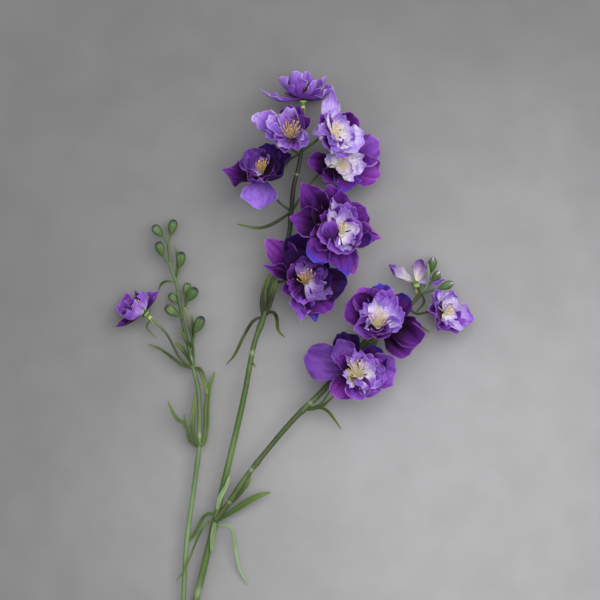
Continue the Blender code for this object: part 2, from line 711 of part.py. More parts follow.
def stem_solid(stem, blooms, material, target, work, parent=None):
    """A stem with its stalks, calyxes, leaves and buds, cut clear of the stem that it grows from."""
    origin = Vector(stem.route[0])
    points, radii = smooth_route(stem.route, stem.radii, ROUTE_STEPS)
    body = tube(points, radii, 2, origin, work["body"])
    for stalk in stem.stalks:
        stalk_tube(stalk, ROUTE_STEPS, origin, work["repeats"])
    for name in stem.blooms:
        bloom_stalk(blooms[name], origin, work["repeats"])
    for leaf in stem.leaves:
        blade(leaf_surface(leaf), LEAF_ROWS, 1, LEAF_THICKNESS, origin, work["repeats"])
    for bud in stem.buds:
        bud_on_stalk(bud, origin, work["repeats"])
    made = fused(stem.name, body, work["repeats"], material, origin, target)
    if parent:
        cut_clear(made, parent, work)
    return made


def make_material(name, colour, roughness):
    """A plain Principled material."""
    material = bpy.data.materials.new(name)
    material.use_nodes = True
    shader = material.node_tree.nodes["Principled BSDF"]
    shader.inputs["Base Color"].default_value = (*colour, 1)
    shader.inputs["Roughness"].default_value = roughness
    shader.inputs["Metallic"].default_value = 0.0
    return material


def main():
    """Builds the spray: three stems, then each bloom's layers."""
    for old in list(bpy.data.objects):
        bpy.data.objects.remove(old)
    scene = bpy.context.scene.collection
    target = bpy.data.collections.new("larkspur_spray")
    work = {name: bpy.data.collections.new(name) for name in ("body", "repeats")}
    for collection in (target, *work.values()):
        scene.children.link(collection)
    materials = {
        "petal": make_material("petal_purple", PURPLE, 0.6),
        "inner": make_material("petal_lilac", LILAC, 0.6),
        "stamen": make_material("stamen_yellow", YELLOW, 0.5),
        "green": make_material("stem_green", GREEN, 0.45),
    }
    blooms = {bloom.name: bloom for bloom in [*BLOOMS, OPENING_BLOOM]}
    stem_solid(MAIN_STEM, blooms, materials["green"], target, work)
    for branch in (RIGHT_BRANCH, LEFT_BRANCH):
        stem_solid(branch, blooms, materials["green"], target, work, parent=MAIN_STEM)
    for bloom in blooms.values():
        outer_petals(bloom, materials["petal"], target, work)
    for bloom in BLOOMS:
        inner_petals(bloom, materials["inner"], target, work)
        stamens(bloom, materials["stamen"], target, work)
    for collection in work.values():
        bpy.data.collections.remove(collection)


main()
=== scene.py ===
"""An artificial larkspur spray: fabric blooms on moulded green stems, laid down and seen from above.

Tables and shape work are in millimetres in the frame's axes: +Y runs up the spray and +Z towards the camera.
"""

import logging
import math
import random
from dataclasses import dataclass, field
from enum import Enum
from typing import Callable, Sequence

import bpy
import numpy as np
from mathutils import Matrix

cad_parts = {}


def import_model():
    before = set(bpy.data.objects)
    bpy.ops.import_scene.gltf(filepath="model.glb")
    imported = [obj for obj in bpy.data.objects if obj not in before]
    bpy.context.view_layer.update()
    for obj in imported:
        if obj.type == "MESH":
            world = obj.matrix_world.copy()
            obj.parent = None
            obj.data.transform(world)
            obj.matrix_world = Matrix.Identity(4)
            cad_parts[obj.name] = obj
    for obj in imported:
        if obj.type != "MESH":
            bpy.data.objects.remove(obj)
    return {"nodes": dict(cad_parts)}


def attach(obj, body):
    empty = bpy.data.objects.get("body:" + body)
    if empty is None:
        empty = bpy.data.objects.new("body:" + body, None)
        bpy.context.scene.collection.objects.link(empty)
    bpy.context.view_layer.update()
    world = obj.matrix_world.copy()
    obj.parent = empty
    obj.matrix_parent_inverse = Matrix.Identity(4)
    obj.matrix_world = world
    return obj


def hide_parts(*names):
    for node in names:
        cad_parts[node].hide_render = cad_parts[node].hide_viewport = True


log = logging.getLogger("larkspur")

MM = 0.001
BODY = "root"

# Petals that come lower than the knee bend along the table, above the clearance
TABLE_CLEARANCE = 0.4
TABLE_KNEE = 3.0

# Heights along a bloom's axis, from its centre, and radii round it
PETAL_ROOT_RADIUS = 1.8
LOWEST_ROOT = 0.4
ROOT_RISE = 1.0
FRILL_ROOT_RADIUS = 0.96
FRILL_ROOT_HEIGHT = 2.5
STAMEN_ROOT_RADIUS = 1.1
STAMEN_ROOT_HEIGHT = 4.0
CALYX_RADIUS = 2.9
CALYX_FRONT = -0.5
CALYX_HEIGHT = 4.2
STALK_RADIUS = 0.95

PETAL_THICKNESS = 0.3
LEAF_THICKNESS = 0.7

Levels = tuple[int, int, int]
Colour = tuple[float, float, float]
Point = tuple[float, float, float]
Profile = Sequence[tuple[float, float]]
Swell = Callable[[np.ndarray, np.ndarray], np.ndarray]


def linear(red: int, green: int, blue: int) -> Colour:
    """Turns a display colour into the linear one that shaders use.

    Args:
        red: Red from 0 to 255.
        green: Green from 0 to 255.
        blue: Blue from 0 to 255.

    Returns:
        The linear colour.
    """
    def one(level: int) -> float:
        """Turns one level from 0 to 255 into a linear number."""
        share = level / 255
        return share / 12.92 if share <= 0.04045 else ((share + 0.055) / 1.055) ** 2.4

    return one(red), one(green), one(blue)


def paint(levels: Levels) -> np.ndarray:
    """Returns a display colour as an array of linear numbers."""
    return np.array(linear(*levels))


def spot(point: Point) -> np.ndarray:
    """Returns a point as an array."""
    return np.array(point, dtype=float)


def blend(
    first: float | np.ndarray, second: float | np.ndarray, share: float | np.ndarray,
) -> float | np.ndarray:
    """Returns first where the share is 0 and second where it is 1."""
    return first + (second - first) * share


def smooth_step(low: float, high: float, value: np.ndarray) -> np.ndarray:
    """Rises smoothly from 0 at low to 1 at high."""
    share = np.clip((value - low) / (high - low), 0, 1)
    return share * share * (3 - 2 * share)


@dataclass(frozen=True)
class Waves:
    """Sine waves that are mixed: how many, and the frequencies that they are drawn from."""

    count: int
    low: float
    high: float

    def over(self, value: np.ndarray, chance: random.Random) -> np.ndarray:
        """Mixes the waves.

        Args:
            value: Where the waves are read.
            chance: The seeded random draw.

        Returns:
            Their mean, between -1 and 1.
        """
        total = np.zeros_like(value)
        for _ in range(self.count):
            pace = chance.uniform(self.low, self.high)
            total = total + np.sin(value * pace + chance.uniform(0, 2 * math.pi))
        return total / self.count


@dataclass(frozen=True)
class Dye:
    """How a petal is dyed: at its root, over its body, towards its tip and on its very rim.

    The root's colour is whole up to root_hold and gone by root_reach; the tip's colour starts at tip_start.
    In the darker tones the dark root is partly the cloth's dye and partly painted shade, standing for the
    shadow where the petals overlap towards the bloom's heart. The lighter rim is partly the cloth's own edge
    tint and partly a painted highlight where light catches the edge.
    """

    root: Levels
    body: Levels
    tip: Levels
    # The rim's colour is partly the cloth's own edge tint and partly a painted highlight where light catches
    # the edge
    rim: Levels
    root_hold: float = 0.0
    root_reach: float = 0.55
    tip_start: float = 0.55

    streaks: Waves = Waves(4, 4, 18)
    root_run: float = 0.22
    tip_run: float = 0.07
    tip_lean: float = 0.12
    rim_tint_and_highlight_share: float = 0.62
    rim_tint_and_highlight_run: float = 0.5

    def over(self, along: np.ndarray, across: np.ndarray, chance: random.Random) -> np.ndarray:
        """Colours a petal's points, each colour running into the next in streaks along the petal.

        Args:
            along: Shares of the length.
            across: From -1 to 1 over the width.
            chance: The seeded random draw.

        Returns:
            A linear colour for each point.
        """
        streak = self.streaks.over(across, chance)
        # The root's colour, in the darker tones partly painted shade, runs into the body in streaks
        start = along + self.root_run * streak * along ** 0.5
        start = smooth_step(self.root_hold + 0.02, self.root_reach, start)
        lean = self.tip_lean * chance.uniform(-1, 1) * across
        end = smooth_step(self.tip_start, 0.98, along + lean + self.tip_run * streak)
        # The rim: partly the cloth's edge tint and partly a painted highlight along the edge
        edge = np.maximum(np.abs(across) ** 2 * smooth_step(0.15, 0.5, along), along ** 5)
        edge = smooth_step(0.82, 1.0, edge) * (self.rim_tint_and_highlight_share + self.rim_tint_and_highlight_run * streak)
        colour = blend(paint(self.root), paint(self.body), start[..., None])
        colour = blend(colour, paint(self.tip), end[..., None])
        return blend(colour, paint(self.rim), edge[..., None])


class Tone(Enum):
    """The dyes that the spray's petals come in, with painted shade in the dark roots of the darker tones and
    a painted highlight in part of their lighter rims.
    """

    # The darker tones' near-black roots are partly dye and partly painted shade between overlapping petals
    NIGHT = Dye((14, 2, 18), (44, 8, 58), (38, 14, 78), (58, 30, 114), 0.1, 0.8)
    DEEP = Dye((28, 2, 32), (76, 20, 104), (108, 46, 152), (164, 106, 210), 0.26, 1.02)
    NAVY = Dye((24, 3, 30), (74, 22, 106), (38, 26, 108), (50, 46, 156), 0.18, 0.85, 0.74)
    BLUE = Dye((32, 5, 42), (108, 46, 152), (74, 66, 194), (104, 108, 230), 0.14, 0.8, 0.72)
    MAGENTA = Dye((48, 6, 56), (116, 44, 150), (146, 74, 184), (190, 132, 222), 0.12, 0.82)
    VIOLET = Dye((48, 8, 62), (112, 50, 162), (146, 90, 202), (194, 150, 238), 0.08, 0.75)
    MUTED = Dye((58, 22, 82), (120, 78, 170), (104, 60, 154), (138, 98, 192), 0, 0.6)
    LIGHT = Dye((208, 188, 238), (154, 106, 216), (138, 90, 204), (200, 168, 244))
    LAVENDER = Dye((112, 76, 158), (148, 108, 212), (156, 116, 226), (190, 160, 242))
    CROWN = Dye((118, 58, 170), (136, 88, 196), (160, 122, 226), (232, 218, 255), 0, 0.6)
    MAUVE = Dye((104, 58, 136), (152, 108, 206), (176, 140, 230), (224, 206, 252), 0.05, 0.5)
    TIPPED = Dye((104, 60, 152), (150, 108, 212), (190, 160, 240), (242, 230, 255), 0, 0.5, 0.6)
    PALE = Dye((248, 238, 255), (204, 174, 248), (144, 96, 212), (218, 196, 252), 0.1, 0.65)
    CUP = Dye((252, 244, 255), (190, 154, 246), (132, 78, 202), (206, 176, 250), 0.12, 0.6)
    CUP_DARK = Dye((206, 184, 232), (104, 62, 150), (82, 38, 124), (122, 80, 178), 0, 0.5)
    MIST = Dye((204, 184, 226), (146, 114, 192), (112, 74, 162), (184, 156, 222), 0, 0.5)
    FRILL = Dye((252, 250, 222), (240, 228, 255), (178, 142, 246), (220, 198, 255), 0, 0.4)
    GREENISH = Dye((206, 218, 158), (242, 236, 250), (188, 156, 248), (228, 210, 255), 0.1)
    OPENING = Dye((120, 138, 70), (206, 196, 212), (104, 54, 160), (150, 104, 210), 0, 0.24, 0.3)
    PLUM = Dye((224, 218, 196), (200, 182, 220), (122, 66, 164), (152, 102, 198), 0.1, 0.4, 0.32)
    OLIVE = Dye((96, 78, 34), (124, 106, 66), (206, 188, 150), (240, 228, 240), 0.2, 0.6, 0.6)
    # Dark brown-violet sheets set in the blooms' hearts: painted shadow standing for the dark hollow between
    # the inner petals
    HOLLOW_SHADOW = Dye((66, 40, 34), (96, 58, 52), (112, 62, 110), (130, 84, 150), 0.2, 0.7, 0.7)
    SEPAL = Dye((128, 158, 92), (120, 150, 84), (60, 78, 44), (70, 84, 50))


@dataclass(frozen=True)
class Petal:
    """One petal: its tip and root from the bloom's centre, its width, its dye, and how it is formed."""

    tip: Point
    width: float
    tone: Tone = Tone.VIOLET
    belly: float = 0.10
    cup: float = 0.55
    sharp: float = 0.25
    turn: float = 0.0
    curl: float = 0.04
    ruffle: float = 0.26
    crease: float = 0.25
    teeth: float = 0.0
    crumple: float = 1.0
    root: Point | None = None


@dataclass(frozen=True)
class Frill(Petal):
    """One of a bloom's inner petals: flatter than the outer ones, with a toothed edge."""

    tone: Tone = Tone.CUP
    belly: float = 0.16
    cup: float = 0.3
    sharp: float = 0.05
    curl: float = -0.06
    ruffle: float = 0.2
    crease: float = 0.05
    teeth: float = 0.06
    crumple: float = 0.5


@dataclass(frozen=True)
class Leaf:
    """One strap leaf: the points its midrib passes through, its width, and how pale it is from 0 to 1."""

    points: list[Point]
    width: float
    pale: float = 0.0


@dataclass(frozen=True)
class Bud:
    """One closed bud: its stalk's root, its base, its tip, its width, and how white its tip shows."""

    root: Point
    base: Point
    tip: Point
    width: float
    white: float = 0.0


def unit(vector: np.ndarray) -> np.ndarray:
    """Scales vectors to length 1 along their last axis."""
    return vector / np.maximum(np.linalg.norm(vector, axis=-1, keepdims=True), 1e-9)


def across_of(axis: np.ndarray) -> np.ndarray:
    """Returns a unit vector square to the axis."""
    helper = np.array([1.0, 0.0, 0.0]) if abs(axis[0]) < 0.8 else np.array([0.0, 1.0, 0.0])
    return unit(np.cross(axis, helper))


def turned(vector: np.ndarray, axis: np.ndarray, angle: float | np.ndarray) -> np.ndarray:
    """Turns a vector about a unit axis.

    Args:
        vector: The vector, or rows of them.
        axis: The axis to turn about.
        angle: The angle in radians, a number or one for each row.

    Returns:
        The turned vector, or rows of them.
    """
    cos, sin = np.asarray(np.cos(angle))[..., None], np.asarray(np.sin(angle))[..., None]
    along = axis * (vector @ axis)[..., None] if vector.ndim > 1 else axis * (vector @ axis)
    return vector * cos + np.cross(axis, vector) * sin + along * (1 - cos)


def lifted(points: np.ndarray) -> np.ndarray:
    """Raises points so that nothing reaches the table: petals bend along it.

    Args:
        points: Points in the last axis.

    Returns:
        The points, with the low ones raised.
    """
    room = TABLE_KNEE - TABLE_CLEARANCE
    low = TABLE_CLEARANCE + room * np.exp(np.minimum(points[..., 2] - TABLE_KNEE, 0) / room)
    found = points.copy()
    found[..., 2] = np.where(points[..., 2] < TABLE_KNEE, low, points[..., 2])
    return found


def smooth_route(rows: np.ndarray, steps: int) -> np.ndarray:
    """Follows a Catmull-Rom curve through rows of numbers.

    Args:
        rows: The rows to pass through, such as points with a radius after them.
        steps: Steps for each stretch between two rows.

    Returns:
        The rows along the curve.
    """
    ends = np.vstack([2 * rows[0] - rows[1], rows, 2 * rows[-1] - rows[-2]])
    t = (np.arange(steps) / steps)[:, None]
    found = []
    for before, start, end, after in zip(ends, ends[1:], ends[2:], ends[3:]):
        found.append(0.5 * (
            2 * start + (end - before) * t
            + (2 * before - 5 * start + 4 * end - after) * t ** 2
            + (3 * start - before - 3 * end + after) * t ** 3
        ))
    return np.vstack([*found, rows[-1:]])


def frames_along(points: np.ndarray) -> tuple[np.ndarray, np.ndarray]:
    """Finds directions square to a line that don't twist round it.

    Args:
        points: The line's points.

    Returns:
        Side and up directions at each point.
    """
    forward = unit(np.gradient(points, axis=0))
    side = np.empty_like(forward)
    side[0] = across_of(forward[0])
    for index in range(1, len(points)):
        side[index] = unit(side[index - 1] - forward[index] * (side[index - 1] @ forward[index]))
    return side, np.cross(forward, side)


class Form:
    """Collects the sheets and tubes of one piece, with what its finish reads at each point."""

    def __init__(self) -> None:
        """Starts an empty form."""
        self.points: list[np.ndarray] = []
        self.faces: list[np.ndarray] = []
        self.caps: list[list[int]] = []
        self.along: list[np.ndarray] = []
        self.across: list[np.ndarray] = []
        self.dye: list[np.ndarray] = []
        self.seed: list[np.ndarray] = []
        self.rims: list[np.ndarray] = []
        self.count = 0

    def grid(
        self, points: np.ndarray, along: np.ndarray, across: np.ndarray, dye: np.ndarray,
        closed: bool = False, seed: float = 0.0,
    ) -> None:
        """Adds a grid of points as quads.

        Args:
            points: Rows and columns of points, in millimetres.
            along: A number from 0 at the root to 1 at the tip, for each point.
            across: A number from -1 to 1 across the piece, for each point.
            dye: A linear colour for each point.
            closed: Whether the last column joins the first, with caps on the first and last rows.
            seed: A number that sets the finish's pattern on this grid apart from others'.
        """
        rows, columns = points.shape[:2]
        index = np.arange(rows * columns).reshape(rows, columns) + self.count
        right = np.roll(index, -1, axis=1) if closed else index[:, 1:]
        left = index if closed else index[:, :-1]
        quads = np.stack([left[:-1], right[:-1], right[1:], left[1:]], axis=-1).reshape(-1, 4)
        self.faces.append(quads)
        if closed:
            self.caps += [index[0, ::-1].tolist(), index[-1].tolist()]
        self.points.append(points.reshape(-1, 3))
        self.along.append(np.broadcast_to(along, (rows, columns)).reshape(-1))
        self.across.append(np.broadcast_to(across, (rows, columns)).reshape(-1))
        self.dye.append(np.broadcast_to(dye, (rows, columns, 3)).reshape(-1, 3))
        self.seed.append(np.full(rows * columns, seed))
        self.count += rows * columns

    def sheet(
        self, points: np.ndarray, along: np.ndarray, across: np.ndarray, dye: np.ndarray,
        thickness: float, seed: float = 0.0,
    ) -> None:
        """Adds a grid of points as a thin closed sheet, thinner towards its edges, with flat rims.

        Args:
            points: Rows and columns of points of its middle surface, in millimetres.
            along: A number from 0 at the root to 1 at the tip, for each point.
            across: A number from -1 to 1 across the sheet, for each point.
            dye: A linear colour for each point.
            thickness: Its thickness in the middle, in millimetres.
            seed: A number that sets the finish's pattern on this sheet apart from others'.
        """
        rows, columns = points.shape[:2]
        normal = unit(np.cross(np.gradient(points, axis=0), np.gradient(points, axis=1)))
        edge = np.maximum(np.abs(across) ** 4, along ** 8) + np.zeros((rows, columns))
        half = (thickness / 2 * (1 - 0.6 * edge))[..., None]
        first = self.count
        self.grid(points - normal * half, along, across, dye, seed=seed)
        self.grid((points + normal * half)[:, ::-1], along, across[:, ::-1], dye[:, ::-1], seed=seed)
        under = np.arange(rows * columns).reshape(rows, columns) + first
        over = (under + rows * columns)[:, ::-1]
        for low, high in (
            (under[0], over[0]), (under[-1, ::-1], over[-1, ::-1]),
            (under[::-1, 0], over[::-1, 0]), (under[:, -1], over[:, -1]),
        ):
            self.rims.append(np.stack([low[:-1], high[:-1], high[1:], low[1:]], axis=-1))

    def rings(
        self, middles: np.ndarray, first: np.ndarray, second: np.ndarray, radii: np.ndarray, sides: int,
        along: np.ndarray, dye: np.ndarray, factors: Callable[[np.ndarray], np.ndarray] | None,
    ) -> None:
        """Adds rings of points round a line as a skin with closed ends.

        Args:
            middles: The rings' centres.
            first: The direction of angle 0, for all rings or for each.
            second: The direction a quarter turn on, in the same way.
            radii: The rings' radii.
            sides: How many sides there are.
            along: A number from 0 to 1 for each ring.
            dye: A linear colour, or one for each ring.
            factors: Takes the angles and gives factors on the radii.
        """
        angle = np.linspace(0, 2 * math.pi, sides, endpoint=False)[None, :]
        factor = factors(angle) if factors else np.ones((len(middles), sides))
        around = first * np.cos(angle)[..., None] + second * np.sin(angle)[..., None]
        points = middles[:, None, :] + around * (radii[:, None] * factor)[..., None]
        colour = np.asarray(dye)
        colour = colour[:, None, :] if colour.ndim == 2 else colour
        self.grid(points, along, angle / math.pi - 1, colour, closed=True)

    def tube(
        self, line: np.ndarray, radii: np.ndarray, sides: int, dye: np.ndarray, swell: Swell | None = None,
    ) -> None:
        """Adds a tube with closed ends.

        Args:
            line: The points it follows, in millimetres.
            radii: Its radius at each of them.
            sides: How many sides it has.
            dye: A linear colour, or one for each point of the line.
            swell: Takes length along and angle, and gives a factor on the radius.
        """
        side, up = frames_along(line)
        length = np.concatenate([[0], np.cumsum(np.linalg.norm(np.diff(line, axis=0), axis=1))])[:, None]
        self.rings(
            line, side[:, None, :], up[:, None, :], radii, sides, length / length[-1], dye,
            (lambda angle: swell(length, angle)) if swell else None,
        )

    def lathe(
        self, profile: Profile, foot: np.ndarray, axis: np.ndarray, sides: int,
        dye: np.ndarray, swell: Swell | None = None,
    ) -> None:
        """Adds a turned shape with closed ends.

        Args:
            profile: Pairs of radius and height along the axis.
            foot: The point at height 0.
            axis: The unit axis.
            sides: How many sides it has.
            dye: A linear colour, or one for each row of the profile.
            swell: Takes the share along and the angle, and gives a factor on the radius.
        """
        radii, height = np.array(profile).T
        first = across_of(axis)
        along = np.linspace(0, 1, len(profile))[:, None]
        self.rings(
            foot + axis * height[:, None], first, np.cross(axis, first), radii, sides, along, dye,
            (lambda angle: swell(along, angle)) if swell else None,
        )

    def finished(self, name: str, material: bpy.types.Material) -> bpy.types.Object:
        """Makes the piece's object.

        Args:
            name: The piece's name.
            material: Its material.

        Returns:
            The object, linked to the scene.
        """
        mesh = bpy.data.meshes.new(name)
        smooth = np.concatenate(self.faces).tolist()
        flat = np.concatenate(self.rims).tolist() if self.rims else []
        mesh.from_pydata((np.concatenate(self.points) * MM).tolist(), [], smooth + flat + self.caps)
        for label, values in (("along", self.along), ("across", self.across), ("seed", self.seed)):
            made = mesh.attributes.new(label, "FLOAT", "POINT")
            made.data.foreach_set("value", np.concatenate(values).astype(np.float32))
        colour = mesh.color_attributes.new("dye", "FLOAT_COLOR", "POINT")
        rgb = np.concatenate(self.dye)
        rgba = np.concatenate([rgb, np.ones((len(rgb), 1))], axis=1)
        colour.data.foreach_set("color", rgba.astype(np.float32).reshape(-1))
        rounded = [True] * len(smooth) + [False] * len(flat) + [True] * len(self.caps)
        mesh.polygons.foreach_set("use_smooth", rounded)
        mesh.materials.append(material)
        made = bpy.data.objects.new(name, mesh)
        bpy.context.scene.collection.objects.link(made)
        return made


class Value:
    """A shader number that Python's operators build Math nodes from."""

    def __init__(self, graph: "Graph", socket: bpy.types.NodeSocket) -> None:
        """Wraps a socket of the graph."""
        self.graph = graph
        self.socket = socket

    def maths(self, operation: str, *others: "Value | float") -> "Value":
        """Adds a Math node on this value.

        Args:
            operation: The Math node's operation.
            others: Its other inputs.

        Returns:
            The node's result.
        """
        return self.graph.maths(operation, self, *others)

    def __add__(self, other: "Value | float") -> "Value":
        """Adds."""
        return self.maths("ADD", other)

    __radd__ = __add__

    def __sub__(self, other: "Value | float") -> "Value":
        """Subtracts."""
        return self.maths("SUBTRACT", other)

    def __rsub__(self, other: float) -> "Value":
        """Subtracts this from a number."""
        return self.graph.maths("SUBTRACT", other, self)

    def __mul__(self, other: "Value | float") -> "Value":
        """Multiplies."""
        return self.maths("MULTIPLY", other)

    __rmul__ = __mul__

    def __pow__(self, other: float) -> "Value":
        """Raises to a power."""
        return self.maths("POWER", other)

    def __abs__(self) -> "Value":
        """Drops the sign."""
        return self.maths("ABSOLUTE")


class Graph:
    """The node tree of one material."""

    def __init__(self, name: str) -> None:
        """Starts a material with a Principled shader.

        Args:
            name: The material's name.
        """
        self.material = bpy.data.materials.new(name)
        self.material.use_nodes = True
        self.tree = self.material.node_tree
        self.shader = self.tree.nodes["Principled BSDF"]

    def node(self, kind: str, settings: dict | None = None, **inputs: object) -> bpy.types.Node:
        """Adds a node.

        Args:
            kind: The node's type, without its ShaderNode prefix.
            settings: Its own settings, set before its sockets.
            inputs: Values or links by socket name, with _ for a space, or by number as at_0.

        Returns:
            The node.
        """
        made = self.tree.nodes.new("ShaderNode" + kind)
        for key, value in (settings or {}).items():
            setattr(made, key, value)
        for key, value in inputs.items():
            number = key.removeprefix("at_")
            socket = made.inputs[int(number) if number.isdigit() else key.replace("_", " ")]
            self.feed(socket, value)
        return made

    def feed(self, socket: bpy.types.NodeSocket, value: object) -> None:
        """Links a value or socket to a socket, or sets a plain number or colour on it."""
        if isinstance(value, Value):
            value = value.socket
        if isinstance(value, bpy.types.NodeSocket):
            self.tree.links.new(value, socket)
        elif isinstance(value, tuple) and socket.type == "RGBA":
            socket.default_value = (*value, 1)
        else:
            socket.default_value = value

    def maths(self, operation: str, *inputs: "Value | float") -> Value:
        """Adds a Math node.

        Args:
            operation: Its operation.
            inputs: Its inputs in order.

        Returns:
            Its result.
        """
        places = {f"at_{index}": value for index, value in enumerate(inputs)}
        return Value(self, self.node("Math", {"operation": operation}, **places).outputs[0])

    def attribute(self, name: str) -> Value:
        """Reads a number that the mesh holds at each point."""
        return Value(self, self.node("Attribute", {"attribute_name": name}).outputs["Fac"])

    def colour_attribute(self, name: str) -> bpy.types.NodeSocket:
        """Reads a colour that the mesh holds at each point."""
        return self.node("Attribute", {"attribute_name": name}).outputs["Color"]

    def noise(self, scale: float, detail: float = 2.0, stretch: Point = (1.0, 1.0, 1.0)) -> Value:
        """Adds noise on the object's own coordinates.

        Args:
            scale: Its scale, in waves for each metre.
            detail: How many finer layers it has.
            stretch: Factors on the coordinates.

        Returns:
            The noise, from 0 to 1.
        """
        place = self.node("TexCoord").outputs["Object"]
        if stretch != (1.0, 1.0, 1.0):
            settings = {"operation": "MULTIPLY"}
            place = self.node("VectorMath", settings, at_0=place, at_1=stretch).outputs[0]
        texture = self.node("TexNoise", None, Vector=place, Scale=scale, Detail=detail)
        return Value(self, texture.outputs["Fac"])

    def ranged(self, value: Value, low: float, high: float, to_low: float, to_high: float) -> Value:
        """Maps a value smoothly from one range to another, held at its ends."""
        made = self.node(
            "MapRange", {"interpolation_type": "SMOOTHSTEP"}, Value=value, From_Min=low,
            From_Max=high, To_Min=to_low, To_Max=to_high,
        )
        return Value(self, made.outputs[0])

    def mixed(self, share: "Value | float", first: object, second: object) -> bpy.types.NodeSocket:
        """Mixes two colours.

        Args:
            share: How much of the second there is.
            first: A colour or its socket.
            second: A colour or its socket.

        Returns:
            The mixed colour's socket.
        """
        made = self.node("Mix", {"data_type": "RGBA"}, at_0=share, at_6=first, at_7=second)
        return made.outputs[2]

    def scaled(self, colour: bpy.types.NodeSocket, factor: "Value | float | Colour") -> bpy.types.NodeSocket:
        """Multiplies a colour by a number or by another colour."""
        if isinstance(factor, tuple):
            return self.node("VectorMath", {"operation": "MULTIPLY"}, at_0=colour, at_1=factor).outputs[0]
        return self.node("VectorMath", {"operation": "SCALE"}, at_0=colour, Scale=factor).outputs[0]

    def dress(
        self, colour: bpy.types.NodeSocket, roughness: "Value | float", bump: Value, depth: float,
        **fixed: object,
    ) -> bpy.types.Material:
        """Sets the shader's surface.

        Args:
            colour: The base colour.
            roughness: The roughness.
            bump: The height of the relief, from 0 to 1.
            depth: The relief's depth in millimetres.
            fixed: Values set on the shader's own sockets, with _ for a space.

        Returns:
            The material.
        """
        relief = self.node("Bump", None, Strength=1.0, Distance=depth * MM, Height=bump).outputs[0]
        surface = {"Base_Color": colour, "Roughness": roughness, "Normal": relief, **fixed}
        for key, value in surface.items():
            self.feed(self.shader.inputs[key.replace("_", " ")], value)
        return self.material


@dataclass(frozen=True)
class PetalCloth:
    """Dyed polyester petal cloth, with pressed veins and a fine weave."""

    name: str = "petal_cloth"
    veins: float = 7.0
    relief: float = 0.30
    drift_scale: float = 90.0
    blotch_scale: float = 130.0
    speck_scale: float = 520.0
    weave_scale: float = 2600.0
    streak_scale: float = 1.5
    roughness: float = 0.66
    sheen: float = 0.05
    shaded: Colour = (0.58, 0.42, 0.62)
    lit: Colour = (1.30, 1.32, 1.16)

    def material(self) -> bpy.types.Material:
        """Builds the material."""
        graph = Graph(self.name)
        along, across = graph.attribute("along"), graph.attribute("across")
        dye = graph.colour_attribute("dye")
        drift = graph.noise(self.drift_scale)
        fan = across * self.veins + (drift - 0.5) * 1.6
        vein = (1 - abs((fan * math.pi).maths("SINE"))) ** 7
        fades = graph.ranged(along, 0.05, 0.3, 0.3, 1) * graph.ranged(along, 0.75, 1.0, 1, 0.35)
        vein = vein * fades
        blotch = graph.noise(self.blotch_scale, 4)
        speck = graph.noise(self.speck_scale, 3)
        weave = graph.noise(self.weave_scale, 1)
        seed = graph.attribute("seed")
        lane = graph.node("CombineXYZ", None, X=across * 5.0 + drift, Y=along * 2.0, Z=seed).outputs[0]
        streak = graph.node("TexNoise", None, Vector=lane, Scale=self.streak_scale, Detail=5.0)
        streak = Value(graph, streak.outputs["Fac"])
        shade, bright = graph.scaled(dye, self.shaded), graph.scaled(dye, self.lit)
        colour = graph.mixed(vein * 0.30, dye, shade)
        colour = graph.mixed(graph.ranged(blotch, 0.42, 0.72, 0, 0.4), colour, bright)
        colour = graph.mixed(graph.ranged(streak, 0.32, 0.52, 0.55, 0), colour, shade)
        colour = graph.mixed(graph.ranged(streak, 0.52, 0.70, 0, 0.5), colour, bright)
        colour = graph.mixed(graph.ranged(speck, 0.35, 0.55, 0.22, 0), colour, shade)
        height = 0.6 - vein * 0.4 + streak * 0.5 + speck * 0.2 + weave * 0.16
        return graph.dress(
            colour, self.roughness + blotch * 0.14, height, self.relief,
            Sheen_Weight=self.sheen, Sheen_Roughness=0.4, Sheen_Tint=(0.82, 0.74, 1.0),
            Subsurface_Weight=0.25, Subsurface_Scale=0.002, Subsurface_Radius=(1.0, 0.5, 1.0),
            Specular_IOR_Level=0.14,
        )


@dataclass(frozen=True)
class MouldedGreen:
    """Moulded green plastic of the stems, leaves and buds, with paler worn patches and fine lines."""

    name: str = "moulded_green"
    roughness: float = 0.42
    relief: float = 0.22
    patch_scale: float = 55.0
    grain_scale: float = 900.0
    speck_scale: float = 380.0
    lines: int = 3
    worn: Colour = (1.5, 1.45, 1.3)
    chalk: Levels = (150, 176, 128)
    shaded: Colour = (0.46, 0.54, 0.36)

    def material(self) -> bpy.types.Material:
        """Builds the material."""
        graph = Graph(self.name)
        across = graph.attribute("across")
        dye = graph.colour_attribute("dye")
        patches = graph.noise(self.patch_scale, 3, (1.0, 0.45, 1.0))
        grain = graph.noise(self.grain_scale, 3, (1.0, 0.3, 1.0))
        specks = graph.noise(self.speck_scale, 2)
        pale = graph.mixed(0.35, graph.scaled(dye, self.worn), linear(*self.chalk))
        dark = graph.scaled(dye, self.shaded)
        colour = graph.mixed(graph.ranged(patches, 0.48, 0.72, 0, 0.55), dye, pale)
        colour = graph.mixed(graph.ranged(patches, 0.28, 0.46, 0.45, 0), colour, dark)
        colour = graph.mixed(graph.ranged(specks, 0.64, 0.78, 0, 0.4), colour, pale)
        lines = (1 - abs((across * self.lines * math.pi).maths("SINE"))) ** 4
        height = 0.4 + grain * 0.4 + specks * 0.2 - lines * 0.35
        return graph.dress(colour, self.roughness + grain * 0.16, height, self.relief, Specular_IOR_Level=0.4)


